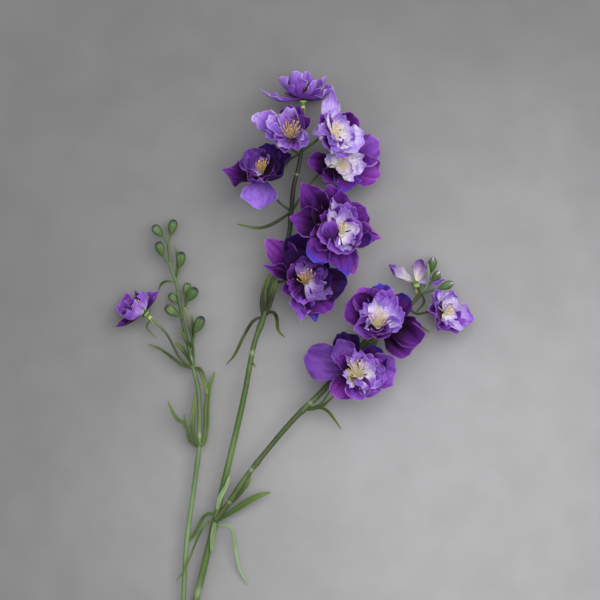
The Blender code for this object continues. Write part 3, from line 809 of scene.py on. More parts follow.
@dataclass(frozen=True)
class StamenTuft:
    """Moulded stamens: pale threads with golden heads."""

    name: str = "stamen_tuft"
    roughness: float = 0.5
    relief: float = 0.15
    speckle_scale: float = 1400.0
    shaded: Colour = (0.62, 0.5, 0.4)

    def material(self) -> bpy.types.Material:
        """Builds the material."""
        graph = Graph(self.name)
        dye = graph.colour_attribute("dye")
        speckle = graph.noise(self.speckle_scale, 3)
        dark = graph.scaled(dye, self.shaded)
        colour = graph.mixed(graph.ranged(speckle, 0.4, 0.65, 0.5, 0), dye, dark)
        roughness = self.roughness + speckle * 0.2
        return graph.dress(colour, roughness, speckle, self.relief, Specular_IOR_Level=0.35)


@dataclass(frozen=True)
class StudioFloor:
    """The pale plaster-like table that the spray lies on, with a painted pool of light: brighter round a spot
    to the lower right and dimmer away from it.
    """

    name: str = "pale_floor"
    roughness: float = 0.85
    relief: float = 0.25
    cloud_scale: float = 6.0
    mottle_scale: float = 26.0
    grain_scale: float = 60.0
    # The floor's colour beyond the painted pool of light, and at the pool's bright middle
    beyond_light_pool: Levels = (122, 121, 122)
    bright: Levels = (171, 170, 172)
    mottling: float = 0.24

    # Where the painted pool of light is brightest and how far round that it fades, in metres
    light_pool_centre: Point = (0.17, -0.05, 0.0)
    light_pool_start: float = 0.03
    light_pool_end: float = 0.5
    cloud_drift: float = 0.16

    def material(self) -> bpy.types.Material:
        """Builds the material."""
        graph = Graph(self.name)
        place = graph.node("TexCoord").outputs["Object"]
        away = graph.node("VectorMath", {"operation": "DISTANCE"}, at_0=place, at_1=self.light_pool_centre)
        cloud, mottle = graph.noise(self.cloud_scale, 4), graph.noise(self.mottle_scale, 6)
        distance = Value(graph, away.outputs["Value"]) + (cloud - 0.5) * self.cloud_drift
        # The painted pool of light: brightest at its centre and fading away from it, with a cloudy edge
        light_pool_falloff = graph.ranged(distance, self.light_pool_start, self.light_pool_end, 0, 1)
        colour = graph.mixed(light_pool_falloff, linear(*self.bright), linear(*self.beyond_light_pool))
        colour = graph.scaled(colour, 1 - self.mottling / 2 + mottle * self.mottling)
        grain = graph.noise(self.grain_scale, 5)
        return graph.dress(colour, self.roughness, grain, self.relief, Specular_IOR_Level=0.2)


@dataclass(frozen=True)
class Finishes:
    """The materials, made once each."""

    cloth: bpy.types.Material
    green: bpy.types.Material
    stamens: bpy.types.Material
    floor: bpy.types.Material

    @classmethod
    def made(cls) -> "Finishes":
        """Builds every finish."""
        return cls(
            PetalCloth().material(), MouldedGreen().material(), StamenTuft().material(),
            StudioFloor().material(),
        )


def hand_over(form: Form, name: str, finish: bpy.types.Material, node: str) -> None:
    """Makes a form's piece, hands it to the frame in place of a CAD node, and logs it.

    Args:
        form: The form.
        name: The piece's name.
        finish: Its material.
        node: The node that it stands for.
    """
    piece = form.finished(name, finish)
    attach(piece, BODY)
    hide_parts(node)
    log.info("%s: %d faces, for %s", name, len(piece.data.polygons), node)


@dataclass(frozen=True)
class Blank:
    """The cloth of one petal as it goes into the press, with the seeded random draw for its folds.

    along holds the share of the length of each row, across runs from -1 to 1 over the columns, and grown
    is how far the folds have grown in each row. The length is in millimetres.
    """

    petal: Petal
    length: float
    along: np.ndarray
    across: np.ndarray
    grown: np.ndarray
    chance: random.Random


@dataclass(frozen=True)
class PetalPress:
    """Presses cloth petals: the shares that edges and folds take of a petal's own sizes."""

    rows: int = 34
    columns: int = 25
    edge_crowding: float = 1.25

    # The outline: where it is widest, its width at the root and the tip, and how far a sharp tip narrows
    widest: float = 0.62
    neck: float = 0.20
    tip_share: float = 0.74
    sharp_narrows: float = 0.45

    # The edge: how far its corners draw back, and its teeth, scallops and snips
    drawn_back: float = 0.10
    sharp_draws_back: float = 0.20
    tooth: float = 0.025
    lowest_lobes: float = 5.0
    highest_lobes: float = 7.5
    scallop: float = 0.045
    teeth_scallop: float = 0.04
    scallops: Waves = Waves(3, 5, 15)
    snip: float = 0.02
    snips: Waves = Waves(4, 24, 50)

    # The folds, which grow between two shares of the length
    folds_start: float = 0.12
    folds_whole: float = 0.65
    crease_round: float = 0.02
    crease_drop: float = 0.14
    curl_start: float = 0.66
    side_ruffle: float = 1.5
    side_ruffles: Waves = Waves(2, 7, 14)
    tip_ruffle: float = 0.8
    tip_ruffles: Waves = Waves(2, 2.5, 6)
    roll_down: float = -0.5
    roll_up: float = 0.45
    pleat: float = 0.11
    pleats: Waves = Waves(2, 3, 6.5)
    wrinkle: float = 0.026
    wrinkles: Waves = Waves(3, 5, 12)
    billow: float = 0.080
    billows: Waves = Waves(3, 2, 6)

    # The whole petal: how far its cup narrows it, its sideways sway, and its twist in degrees
    cup_narrows: float = 0.10
    sway: float = 0.06
    twist: float = 16.0
    twist_centre: float = 0.3

    def outline(self, along: np.ndarray, sharp: float) -> np.ndarray:
        """Half width of a petal along its length, as a share of the widest.

        Args:
            along: Shares of the length.
            sharp: From 0 for a round tip to 1 for a pointed one.

        Returns:
            The shares of the widest half width.
        """
        grows = self.neck + (1 - self.neck) * np.sin(math.pi / 2 * np.minimum(along / self.widest, 1))
        past = np.maximum(along - self.widest, 0) / (1 - self.widest)
        return grows * (1 - (1 - self.tip_share + self.sharp_narrows * sharp) * past ** 2)

    def edges(self, blank: Blank) -> tuple[np.ndarray, np.ndarray]:
        """Cuts a petal's edge.

        Args:
            blank: The petal's cloth.

        Returns:
            The share of the length that each point reaches, and the half width there in millimetres.
        """
        petal, along, across, chance = blank.petal, blank.along, blank.across, blank.chance
        lobes = chance.uniform(self.lowest_lobes, self.highest_lobes) * across
        lobes = 0.5 + 0.5 * np.sin(lobes + chance.uniform(0, 2 * math.pi))
        corner = (self.drawn_back + self.sharp_draws_back * petal.sharp) * along ** 2
        corner = corner * np.abs(across) ** (2 - 0.8 * petal.sharp)
        reach = along * (1 - corner - (petal.teeth + self.tooth) * lobes * along ** 6)
        scallop = self.scallop + self.teeth_scallop * petal.teeth
        hands = []
        for _ in range(2):
            cut = scallop * self.scallops.over(along, chance)
            hands.append(1 + (cut + self.snip * self.snips.over(along, chance)) * blank.grown)
        return reach, petal.width / 2 * self.outline(along, petal.sharp) * np.where(across > 0, *hands)

    def folds(self, blank: Blank, reach: np.ndarray, half: np.ndarray) -> np.ndarray:
        """Bends, ruffles and wrinkles a petal out of its plane.

        Args:
            blank: The petal's cloth.
            reach: The share of the length that each point reaches.
            half: The half width at each point, in millimetres.

        Returns:
            The height of each point over the plane, in millimetres.
        """
        petal, along, across, chance = blank.petal, blank.along, blank.across, blank.chance
        crease = np.sqrt(across ** 2 + self.crease_round) - self.crease_drop
        curl = np.maximum(along - self.curl_start, 0) / (1 - self.curl_start)
        rise = half * (petal.cup * across ** 2 + petal.crease * crease)
        rise = rise + blank.length * (petal.curl * curl ** 2 - petal.belly * np.sin(math.pi * reach))
        for hand in (-1, 1):
            out = np.maximum(across * hand, 0)
            ruffle = self.side_ruffle * petal.ruffle * self.side_ruffles.over(along, chance)
            roll = petal.crumple * chance.uniform(self.roll_down, self.roll_up)
            roll = roll * smooth_step(0.55, 1.0, out) ** 1.5
            rise = rise + half * blank.grown * (ruffle * out ** 2.2 + roll)
        ruffle = self.tip_ruffle * petal.ruffle * along ** 4 * self.tip_ruffles.over(across, chance)
        pleat = np.abs(self.pleats.over(across * (1.1 - 0.4 * along), chance)) - 0.4
        wrinkle = self.wrinkles.over(across + 0.5 * along, chance)
        billow = self.billows.over(0.8 * along + 0.5 * across, chance)
        crumple = self.pleat * pleat + self.wrinkle * wrinkle + self.billow * billow
        return rise + half * ruffle + petal.crumple * petal.width * crumple * blank.grown

    def add(
        self, form: Form, petal: Petal, root: np.ndarray, tip: np.ndarray, axis: np.ndarray,
        chance: random.Random,
    ) -> None:
        """Adds one petal to a form.

        Args:
            form: The form.
            petal: How the petal is shaped and dyed.
            root: Where it leaves the bloom.
            tip: Where its tip is.
            axis: The bloom's axis.
            chance: The seeded random draw.
        """
        chord = tip - root
        length = float(np.linalg.norm(chord))
        forward = chord / length
        face = turned(unit(axis - axis @ forward * forward), forward, math.radians(petal.turn))
        side = np.cross(forward, face)
        along = np.linspace(0, 1, self.rows)[:, None]
        across = np.sin(np.linspace(-1, 1, self.columns) * self.edge_crowding)[None, :]
        across = across / math.sin(self.edge_crowding)
        grown = smooth_step(self.folds_start, self.folds_whole, along)
        blank = Blank(petal, length, along, across, grown, chance)
        reach, half = self.edges(blank)
        rise = self.folds(blank, reach, half)
        spread = half * across * (1 - self.cup_narrows * petal.cup * across ** 2)
        spread = spread + self.sway * petal.width * chance.uniform(-1, 1) * np.sin(math.pi * along)
        twist = math.radians(chance.uniform(-self.twist, self.twist)) * (along - self.twist_centre)
        cos, sin = np.cos(twist), np.sin(twist)
        spread, rise = spread * cos - rise * sin, spread * sin + rise * cos
        points = root + chord * reach[..., None] + side * spread[..., None] + face * rise[..., None]
        dye = petal.tone.value.over(along, across, chance)
        form.sheet(lifted(points), along, across, dye, PETAL_THICKNESS, chance.uniform(0, 100))


PRESS = PetalPress()
SEPAL_PRESS = PetalPress(rows=9, columns=7)


@dataclass
class Grown:
    """A sub-assembly whose name seeds the random draws of its layers."""

    name: str

    def chance(self, layer: str) -> random.Random:
        """Returns the seeded random draw of one layer."""
        return random.Random(f"{self.name} {layer}")


@dataclass
class Bloom(Grown):
    """One bloom of layered cloth petals round a tuft of stamens."""

    centre: Point
    axis: Point
    stalk: list[Point]
    petals: list[Petal]
    ring_length: float = 0.0
    ring_rise: float = 70.0
    frills: list[Petal] = field(default_factory=list)
    heart: Point = (0.0, 0.0, 0.0)
    stamen_length: float = 11.0
    stamen_lean: Point = (0.0, 0.3, 0.0)
    stamens: int = 24
    fan: float = 1.0
    gold: float = 0.0
    eye: float = 0.0
    open: bool = True

    # The colours of threads and heads, plain and golden, and of the tuft's foot and bowl
    pale_thread: Levels = (254, 250, 222)
    gold_thread: Levels = (186, 148, 78)
    pale_head: Levels = (252, 238, 184)
    gold_head: Levels = (216, 172, 110)
    foot_green: Levels = (206, 204, 130)
    eye_white: Levels = (216, 206, 196)

    # A ring of inner petals: how many stand outside and inside, and the size of those inside
    outer_ring: int = 6
    inner_ring: int = 5
    inner_size: float = 0.8

    # The tuft: how its threads turn round the axis and spread from it, their radii, bow and sides, and
    # the shapes of their heads and of the foot they stand on
    thread_turn: float = 2.4
    least_spread: float = 0.05
    spread_growth: float = 0.36
    thread_fan: float = 1.7
    thread_root: float = 0.37
    thread_tip: float = 0.24
    thread_bow: float = 0.06
    thread_sides: int = 6
    head_sides: int = 7
    head_stretch: float = 1.7
    foot_profile: Profile = ((0.8, -0.6), (1.2, 0.0), (1.0, 0.8), (0.4, 1.4))

    def place(self) -> tuple[np.ndarray, np.ndarray]:
        """Returns the bloom's centre and unit axis."""
        return spot(self.centre), unit(spot(self.axis))

    def build(self, finishes: Finishes) -> None:
        """Builds and dresses the bloom's layers.

        Args:
            finishes: The materials.
        """
        self.build_petals(finishes)
        if self.open:
            self.build_frills(finishes)
            self.build_stamens(finishes)

    def add_rooted(
        self, form: Form, petal: Petal, middle: np.ndarray, radius: float, chance: random.Random,
    ) -> None:
        """Adds a petal that is rooted beside the axis, on the side that it reaches out to.

        Args:
            form: The form.
            petal: The petal.
            middle: The point on the axis at the height of its root.
            radius: How far from that point its root is.
            chance: The seeded random draw.
        """
        centre, axis = self.place()
        reach = spot(petal.tip)
        root = middle + unit(reach - axis * (axis @ reach)) * radius
        if petal.root:
            root = centre + spot(petal.root)
        PRESS.add(form, petal, root, centre + reach, axis, chance)

    def build_petals(self, finishes: Finishes) -> None:
        """Builds the outer petals, the lowest first."""
        centre, axis = self.place()
        chance = self.chance("petals")
        form = Form()
        lowest_first = sorted(self.petals, key=lambda petal: axis @ unit(spot(petal.tip)))
        for index, petal in enumerate(lowest_first):
            height = LOWEST_ROOT + ROOT_RISE * index / len(lowest_first)
            self.add_rooted(form, petal, centre + axis * height, PETAL_ROOT_RADIUS, chance)
        node = self.name + "_outer_petals"
        hand_over(form, self.name + "_petals", finishes.cloth, node)

    def build_frills(self, finishes: Finishes) -> None:
        """Builds the inner petals: those listed one by one, or a ring of them."""
        centre, axis = self.place()
        chance = self.chance("frills")
        form = Form()
        heart = centre + axis * FRILL_ROOT_HEIGHT + spot(self.heart)
        for petal in self.frills or self.ring():
            self.add_rooted(form, petal, heart, FRILL_ROOT_RADIUS, chance)
        node = self.name + "_inner_petals"
        hand_over(form, self.name + "_frills", finishes.cloth, node)

    def ring(self) -> list[Petal]:
        """Returns two rings of upright inner petals."""
        _, axis = self.place()
        chance = self.chance("ring")
        across = across_of(axis)
        found = []
        for index in range(self.outer_ring + self.inner_ring):
            inner = index >= self.outer_ring
            angle = 2 * math.pi * (index + chance.uniform(-0.2, 0.2))
            angle = angle / (self.inner_ring if inner else self.outer_ring)
            lean = math.radians(self.ring_rise + chance.uniform(-10, 10))
            size = self.ring_length * (self.inner_size if inner else 1) * chance.uniform(0.85, 1.1)
            outward = turned(across, axis, angle)
            tip = (outward * math.cos(lean) + axis * math.sin(lean)) * size + axis * FRILL_ROOT_HEIGHT
            tone = Tone.FRILL if inner else Tone.LIGHT
            found.append(Frill(tuple(tip), size * chance.uniform(0.6, 0.8), tone))
        return found

    def build_stamens(self, finishes: Finishes) -> None:
        """Builds the tuft of stamens on its foot, with the pale ragged bowl behind it where there is one."""
        centre, axis = self.place()
        chance = self.chance("stamens")
        form = Form()
        start = across_of(axis)
        thread = blend(paint(self.pale_thread), paint(self.gold_thread), self.gold)
        head = blend(paint(self.pale_head), paint(self.gold_head), self.gold)
        base = centre + spot(self.heart) + axis * STAMEN_ROOT_HEIGHT
        for index in range(self.stamens):
            outward = turned(start, axis, self.thread_turn * index)
            spread = self.least_spread + self.spread_growth * math.sqrt(index / self.stamens)
            foot = base + outward * STAMEN_ROOT_RADIUS * spread * 2
            length = self.stamen_length * chance.uniform(0.72, 1.05)
            way = unit(axis + outward * spread * self.thread_fan * self.fan + spot(self.stamen_lean))
            end = foot + way * length
            middle = (foot + end) / 2 + axis * length * self.thread_bow + outward * chance.uniform(0.2, 0.9)
            line = smooth_route(np.array([foot, middle, end]), 4)
            share = np.linspace(0, 1, len(line))
            radii = blend(self.thread_root, self.thread_tip, share)
            form.tube(line, radii, self.thread_sides, blend(thread, head, share[:, None] ** 2))
            self.add_head(form, end, unit(end - middle), head, chance)
        form.lathe(self.foot_profile, base - axis * 0.4, axis, 12, paint(self.foot_green))
        if self.eye:
            self.add_eye(form, base, axis, chance.uniform(0, 6))
        node = self.name + "_stamens"
        hand_over(form, self.name + "_tuft", finishes.stamens, node)

    def add_eye(self, form: Form, base: np.ndarray, axis: np.ndarray, phase: float) -> None:
        """Adds the pale ragged bowl behind a tuft.

        Args:
            form: The form.
            base: The point on the axis that it opens from.
            axis: The bloom's axis.
            phase: Where its lobes start round the axis.
        """
        profile = [(0.5, -0.6), (self.eye * 0.7, 0.0), (self.eye, 1.6), (self.eye * 0.75, 0.9), (0.5, 0.2)]
        form.lathe(
            profile, base, axis, 28, paint(self.eye_white),
            lambda along, angle: 1 + (0.12 * np.cos(5 * angle + phase) + 0.06 * np.cos(13 * angle)) * along,
        )

    def add_head(
        self, form: Form, end: np.ndarray, way: np.ndarray, dye: np.ndarray, chance: random.Random,
    ) -> None:
        """Adds the head of one stamen.

        Args:
            form: The form.
            end: The end of its thread.
            way: The way the thread points.
            dye: The head's colour.
            chance: The seeded random draw.
        """
        size = chance.uniform(0.4, 0.62)
        tilted = unit(way + np.array([chance.uniform(-0.5, 0.5) for _ in range(3)]))
        profile = [
            (max(size * math.sin(turn), 0.05), size * self.head_stretch * (1 - math.cos(turn)) - size * 0.5)
            for turn in np.linspace(0.1, math.pi - 0.1, 6)
        ]
        form.lathe(profile, end, tilted, self.head_sides, dye * chance.uniform(0.75, 1.2))


@dataclass
class Stem(Grown):
    """One green stem: its route, its joints, and all that grows on it."""

    route: list[Point]
    radii: list[float]
    leaves: list[Leaf]
    joints: list[float]
    blooms: list[Bloom]
    stalks: list[list[Point]] = field(default_factory=list)
    buds: list[Bud] = field(default_factory=list)
    low_green: Levels = (80, 106, 50)
    high_green: Levels = (38, 43, 25)
    leaf_tint: Colour = (0.92, 1.0, 0.72)

    pale_leaf: Levels = (158, 184, 140)
    leaf_tip: Levels = (112, 134, 62)
    joint_green: Levels = (172, 186, 146)
    stalk_low: Levels = (62, 80, 40)
    stalk_high: Levels = (128, 150, 74)
    bud_green: Levels = (80, 106, 58)
    bud_dark: Levels = (48, 42, 62)
    bud_white: Levels = (226, 220, 238)
    calyx_green: Levels = (150, 176, 104)
    peg_cream: Levels = (214, 206, 138)

    # Sides of the tube, stalks and buds, and steps of a route between two of its points
    tube_sides: int = 20
    tube_steps: int = 24
    stalk_sides: int = 12
    stalk_steps: int = 10
    bud_sides: int = 40
    bud_rows: int = 18
    bud_stalk_sides: int = 10

    # The tube's ridges, seams, joints and marks: how far each swells it, as a share of its radius, and
    # the reach and spacing of joints and marks in millimetres
    ridge: float = 0.025
    slow_ridge: float = 0.015
    seam: float = 0.05
    seam_width: float = 0.16
    joint: float = 0.18
    joint_reach: float = 3.0
    mark: float = 0.05
    mark_reach: float = 0.7
    mark_spacing: float = 16.0
    pale_joint: float = 0.004

    # The leaves: steps of the midrib between two of its points, and columns across it
    leaf_steps: int = 10
    leaf_columns: int = 9

    # The calyxes: how many sepals each has, their width, and how far they reach past the rim
    sepals: int = 5
    sepal_width: float = 2.8
    sepal_reach: float = 2.0

    def greens(self, share: np.ndarray) -> np.ndarray:
        """Returns the stem's colour at each share of its height."""
        return blend(paint(self.low_green), paint(self.high_green), smooth_step(0.3, 0.82, share)[..., None])

    def hand_in(self, form: Form, layer: str, finishes: Finishes) -> None:
        """Finishes one of the stem's layers in moulded green, in place of the stem's node."""
        hand_over(form, f"{self.name}_{layer}", finishes.green, self.name)

    def build(self, finishes: Finishes) -> None:
        """Builds and dresses the stem and what grows on it.

        Args:
            finishes: The materials.
        """
        self.build_tube(finishes)
        self.build_leaves(finishes)
        if self.buds:
            self.build_buds(finishes)
        self.build_calyxes(finishes)

    def build_tube(self, finishes: Finishes) -> None:
        """Builds the stem's tube, with moulded ridges, seams and swollen joints, and its stalks."""
        form = Form()
        chance = self.chance("tube")
        rows = smooth_route(np.column_stack([spot(self.route), self.radii]), self.tube_steps)
        line, radii = rows[:, :3], rows[:, 3]
        length = float(np.sum(np.linalg.norm(np.diff(line, axis=0), axis=1)))
        marks = [chance.uniform(0, length) for _ in range(int(length / self.mark_spacing))]

        def swell(place: np.ndarray, angle: np.ndarray) -> np.ndarray:
            """Ridges, mould seams, joints and small ring marks."""
            found = 1 + self.ridge * np.cos(5 * angle + place * 0.01)
            found = found + self.slow_ridge * np.cos(3 * angle - place * 0.03)
            found = found + self.seam * np.exp(-(np.cos(angle) / self.seam_width) ** 2)
            for joint in self.joints:
                found = found + self.joint * np.exp(-((place - joint * length) / self.joint_reach) ** 2)
            for mark in marks:
                found = found + self.mark * np.exp(-((place - mark) / self.mark_reach) ** 2)
            return found

        heights = np.linspace(0, 1, len(line))
        pale = np.exp(-((heights[:, None] - np.array(self.joints)[None, :]) / self.pale_joint) ** 2)
        share = np.clip(pale.sum(axis=1), 0, 1)[:, None] * 0.5
        dye = blend(self.greens(heights), paint(self.joint_green), share)
        form.tube(line, radii, self.tube_sides, dye, swell)
        for stalk in [*self.stalks, *(self.stalk_of(bloom) for bloom in self.blooms)]:
            route = smooth_route(spot(stalk), self.stalk_steps)
            share = np.linspace(0, 1, len(route))
            widths = STALK_RADIUS * (1 + 0.18 * (1 - share) ** 3)
            shade = smooth_step(0.55, 1.0, share)[:, None]
            dye = blend(paint(self.stalk_low), paint(self.stalk_high), shade)
            form.tube(route, widths, self.stalk_sides, dye)
        self.hand_in(form, "tube", finishes)

    @staticmethod
    def stalk_of(bloom: Bloom) -> list[Point]:
        """Returns the points of a bloom's stalk, up to its calyx."""
        centre, axis = bloom.place()
        base = centre + axis * (CALYX_FRONT - CALYX_HEIGHT)
        return [*bloom.stalk, tuple(base), tuple(base + axis * 1.5)]

    def build_leaves(self, finishes: Finishes) -> None:
        """Builds the strap leaves: grooved along the midrib, and paler towards the tip."""
        form = Form()
        chance = self.chance("leaves")
        for leaf in self.leaves:
            self.add_leaf(form, leaf, chance)
        self.hand_in(form, "leaves", finishes)

    def add_leaf(self, form: Form, leaf: Leaf, chance: random.Random) -> None:
        """Adds one leaf to a form.

        Args:
            form: The form.
            leaf: The leaf.
            chance: The seeded random draw.
        """
        line = smooth_route(spot(leaf.points), self.leaf_steps)
        forward = unit(np.gradient(line, axis=0))
        side = unit(np.cross(forward, np.array([0.0, 0.0, 1.0])))
        up = np.cross(side, forward)[:, None, :]
        side = side[:, None, :]
        along = np.linspace(0, 1, len(line))[:, None]
        across = np.linspace(-1, 1, self.leaf_columns)[None, :]
        lean = (0.5 * np.sin(3 * along + chance.uniform(0, 6)))[..., None]
        side, up = side * np.cos(lean) + up * np.sin(lean), up * np.cos(lean) - side * np.sin(lean)
        half = leaf.width / 2 * np.maximum(np.sin(math.pi * (0.12 + 0.86 * along)), 0.02) ** 0.6
        trough = half * (0.45 * np.abs(across) - 0.25 * across ** 4)
        trough = trough + 0.08 * leaf.width * np.sin(9 * along + chance.uniform(0, 6)) * across
        points = line[:, None, :] + side * (half * across)[..., None] + up * trough[..., None]
        start, end = self.route[0][1], self.route[-1][1]
        height = np.array((leaf.points[0][1] - start) / (end - start))
        green = self.greens(height) * np.array(self.leaf_tint) * chance.uniform(0.85, 1.15)
        green = blend(green, paint(self.pale_leaf), leaf.pale)
        tip = blend(paint(self.leaf_tip), paint(self.pale_leaf), leaf.pale)
        colour = blend(green, tip, 0.75 * smooth_step(0.35, 1.0, along)[..., None])
        form.sheet(points, along, across, colour, LEAF_THICKNESS)

    def build_buds(self, finishes: Finishes) -> None:
        """Builds the ribbed buds, with dark puckered tips, on their stalks."""
        form = Form()
        chance = self.chance("buds")
        for bud in self.buds:
            self.add_bud(form, bud, chance.uniform(0, 6))
        self.hand_in(form, "buds", finishes)

    def add_bud(self, form: Form, bud: Bud, phase: float) -> None:
        """Adds one bud and its stalk to a form.

        Args:
            form: The form.
            bud: The bud.
            phase: Where its ribs start round its axis.
        """
        green, dark, white = paint(self.bud_green), paint(self.bud_dark), paint(self.bud_white)
        root, base, tip = spot(bud.root), spot(bud.base), spot(bud.tip)
        axis, length = unit(tip - base), float(np.linalg.norm(tip - base))
        stalk = smooth_route(np.array([root, (root + base) / 2 - axis * 0.6, base + axis * length * 0.12]), 6)
        form.tube(stalk, np.linspace(0.95, 0.8, len(stalk)), self.bud_stalk_sides, green)
        turns = np.linspace(0.04, math.pi - 0.04, self.bud_rows)
        shares = (1 - np.cos(turns)) / 2
        profile = [
            (bud.width / 2 * math.sin(turn) * (0.55 + 0.75 * share - 0.15 * share ** 2), length * share)
            for turn, share in zip(turns, shares)
        ]
        profile[-1] = (profile[-1][0] + 0.3, profile[-1][1] - 0.5)

        def ribs(along: np.ndarray, angle: np.ndarray) -> np.ndarray:
            """Five rounded ribs that pinch together at the tip."""
            groove = np.abs(np.sin(2.5 * angle + phase + 0.8 * along))
            return 0.86 + 0.17 * groove ** 0.7 + 0.04 * np.cos(10 * angle)

        angle = np.linspace(0, 2 * math.pi, self.bud_sides, endpoint=False)[None, :, None]
        share = smooth_step(0.72 - 0.12 * bud.white, 1.0, shares)[:, None, None]
        fold = bud.white * (0.5 + 0.5 * np.cos(5 * angle + phase))
        form.lathe(profile, base, axis, self.bud_sides, blend(green, blend(dark, white, fold), share), ribs)

    def build_calyxes(self, finishes: Finishes) -> None:
        """Builds the green funnels under the blooms, with their pointed sepals and pale pegs."""
        form, sepals = Form(), Form()
        narrow, rim, back = STALK_RADIUS, CALYX_RADIUS, CALYX_FRONT
        funnel = [
            (narrow * 1.2, back - CALYX_HEIGHT), (narrow * 1.7, back - 3.2), (rim * 0.72, back - 1.8),
            (rim * 0.95, back - 0.8), (rim, back - 0.1), (0.4, back),
        ]
        collar = [(narrow, -9), (1.25, -6.5), (1.45, -3), (1.5, -0.8), (narrow * 1.1, 0.1)]
        sepal = Petal((0, 0, 0), self.sepal_width, Tone.SEPAL, cup=0.5, sharp=1.0, ruffle=0.04)
        for bloom in self.blooms:
            centre, axis = bloom.place()
            foot = centre + axis * (back - CALYX_HEIGHT)
            form.lathe(
                funnel, centre, axis, 20, paint(self.calyx_green),
                lambda along, angle: 1 + 0.06 * np.cos(5 * angle),
            )
            form.lathe(collar, foot, axis, 16, paint(self.peg_cream))
            for index in range(self.sepals):
                outward = turned(across_of(axis), axis, 2 * math.pi * index / self.sepals)
                root = foot + axis + outward * 0.9
                tip = centre + axis * (back - 0.4) + outward * (rim + self.sepal_reach)
                SEPAL_PRESS.add(sepals, sepal, root, tip, axis, random.Random(1))
        self.hand_in(form, "calyxes", finishes)
        self.hand_in(sepals, "sepals", finishes)


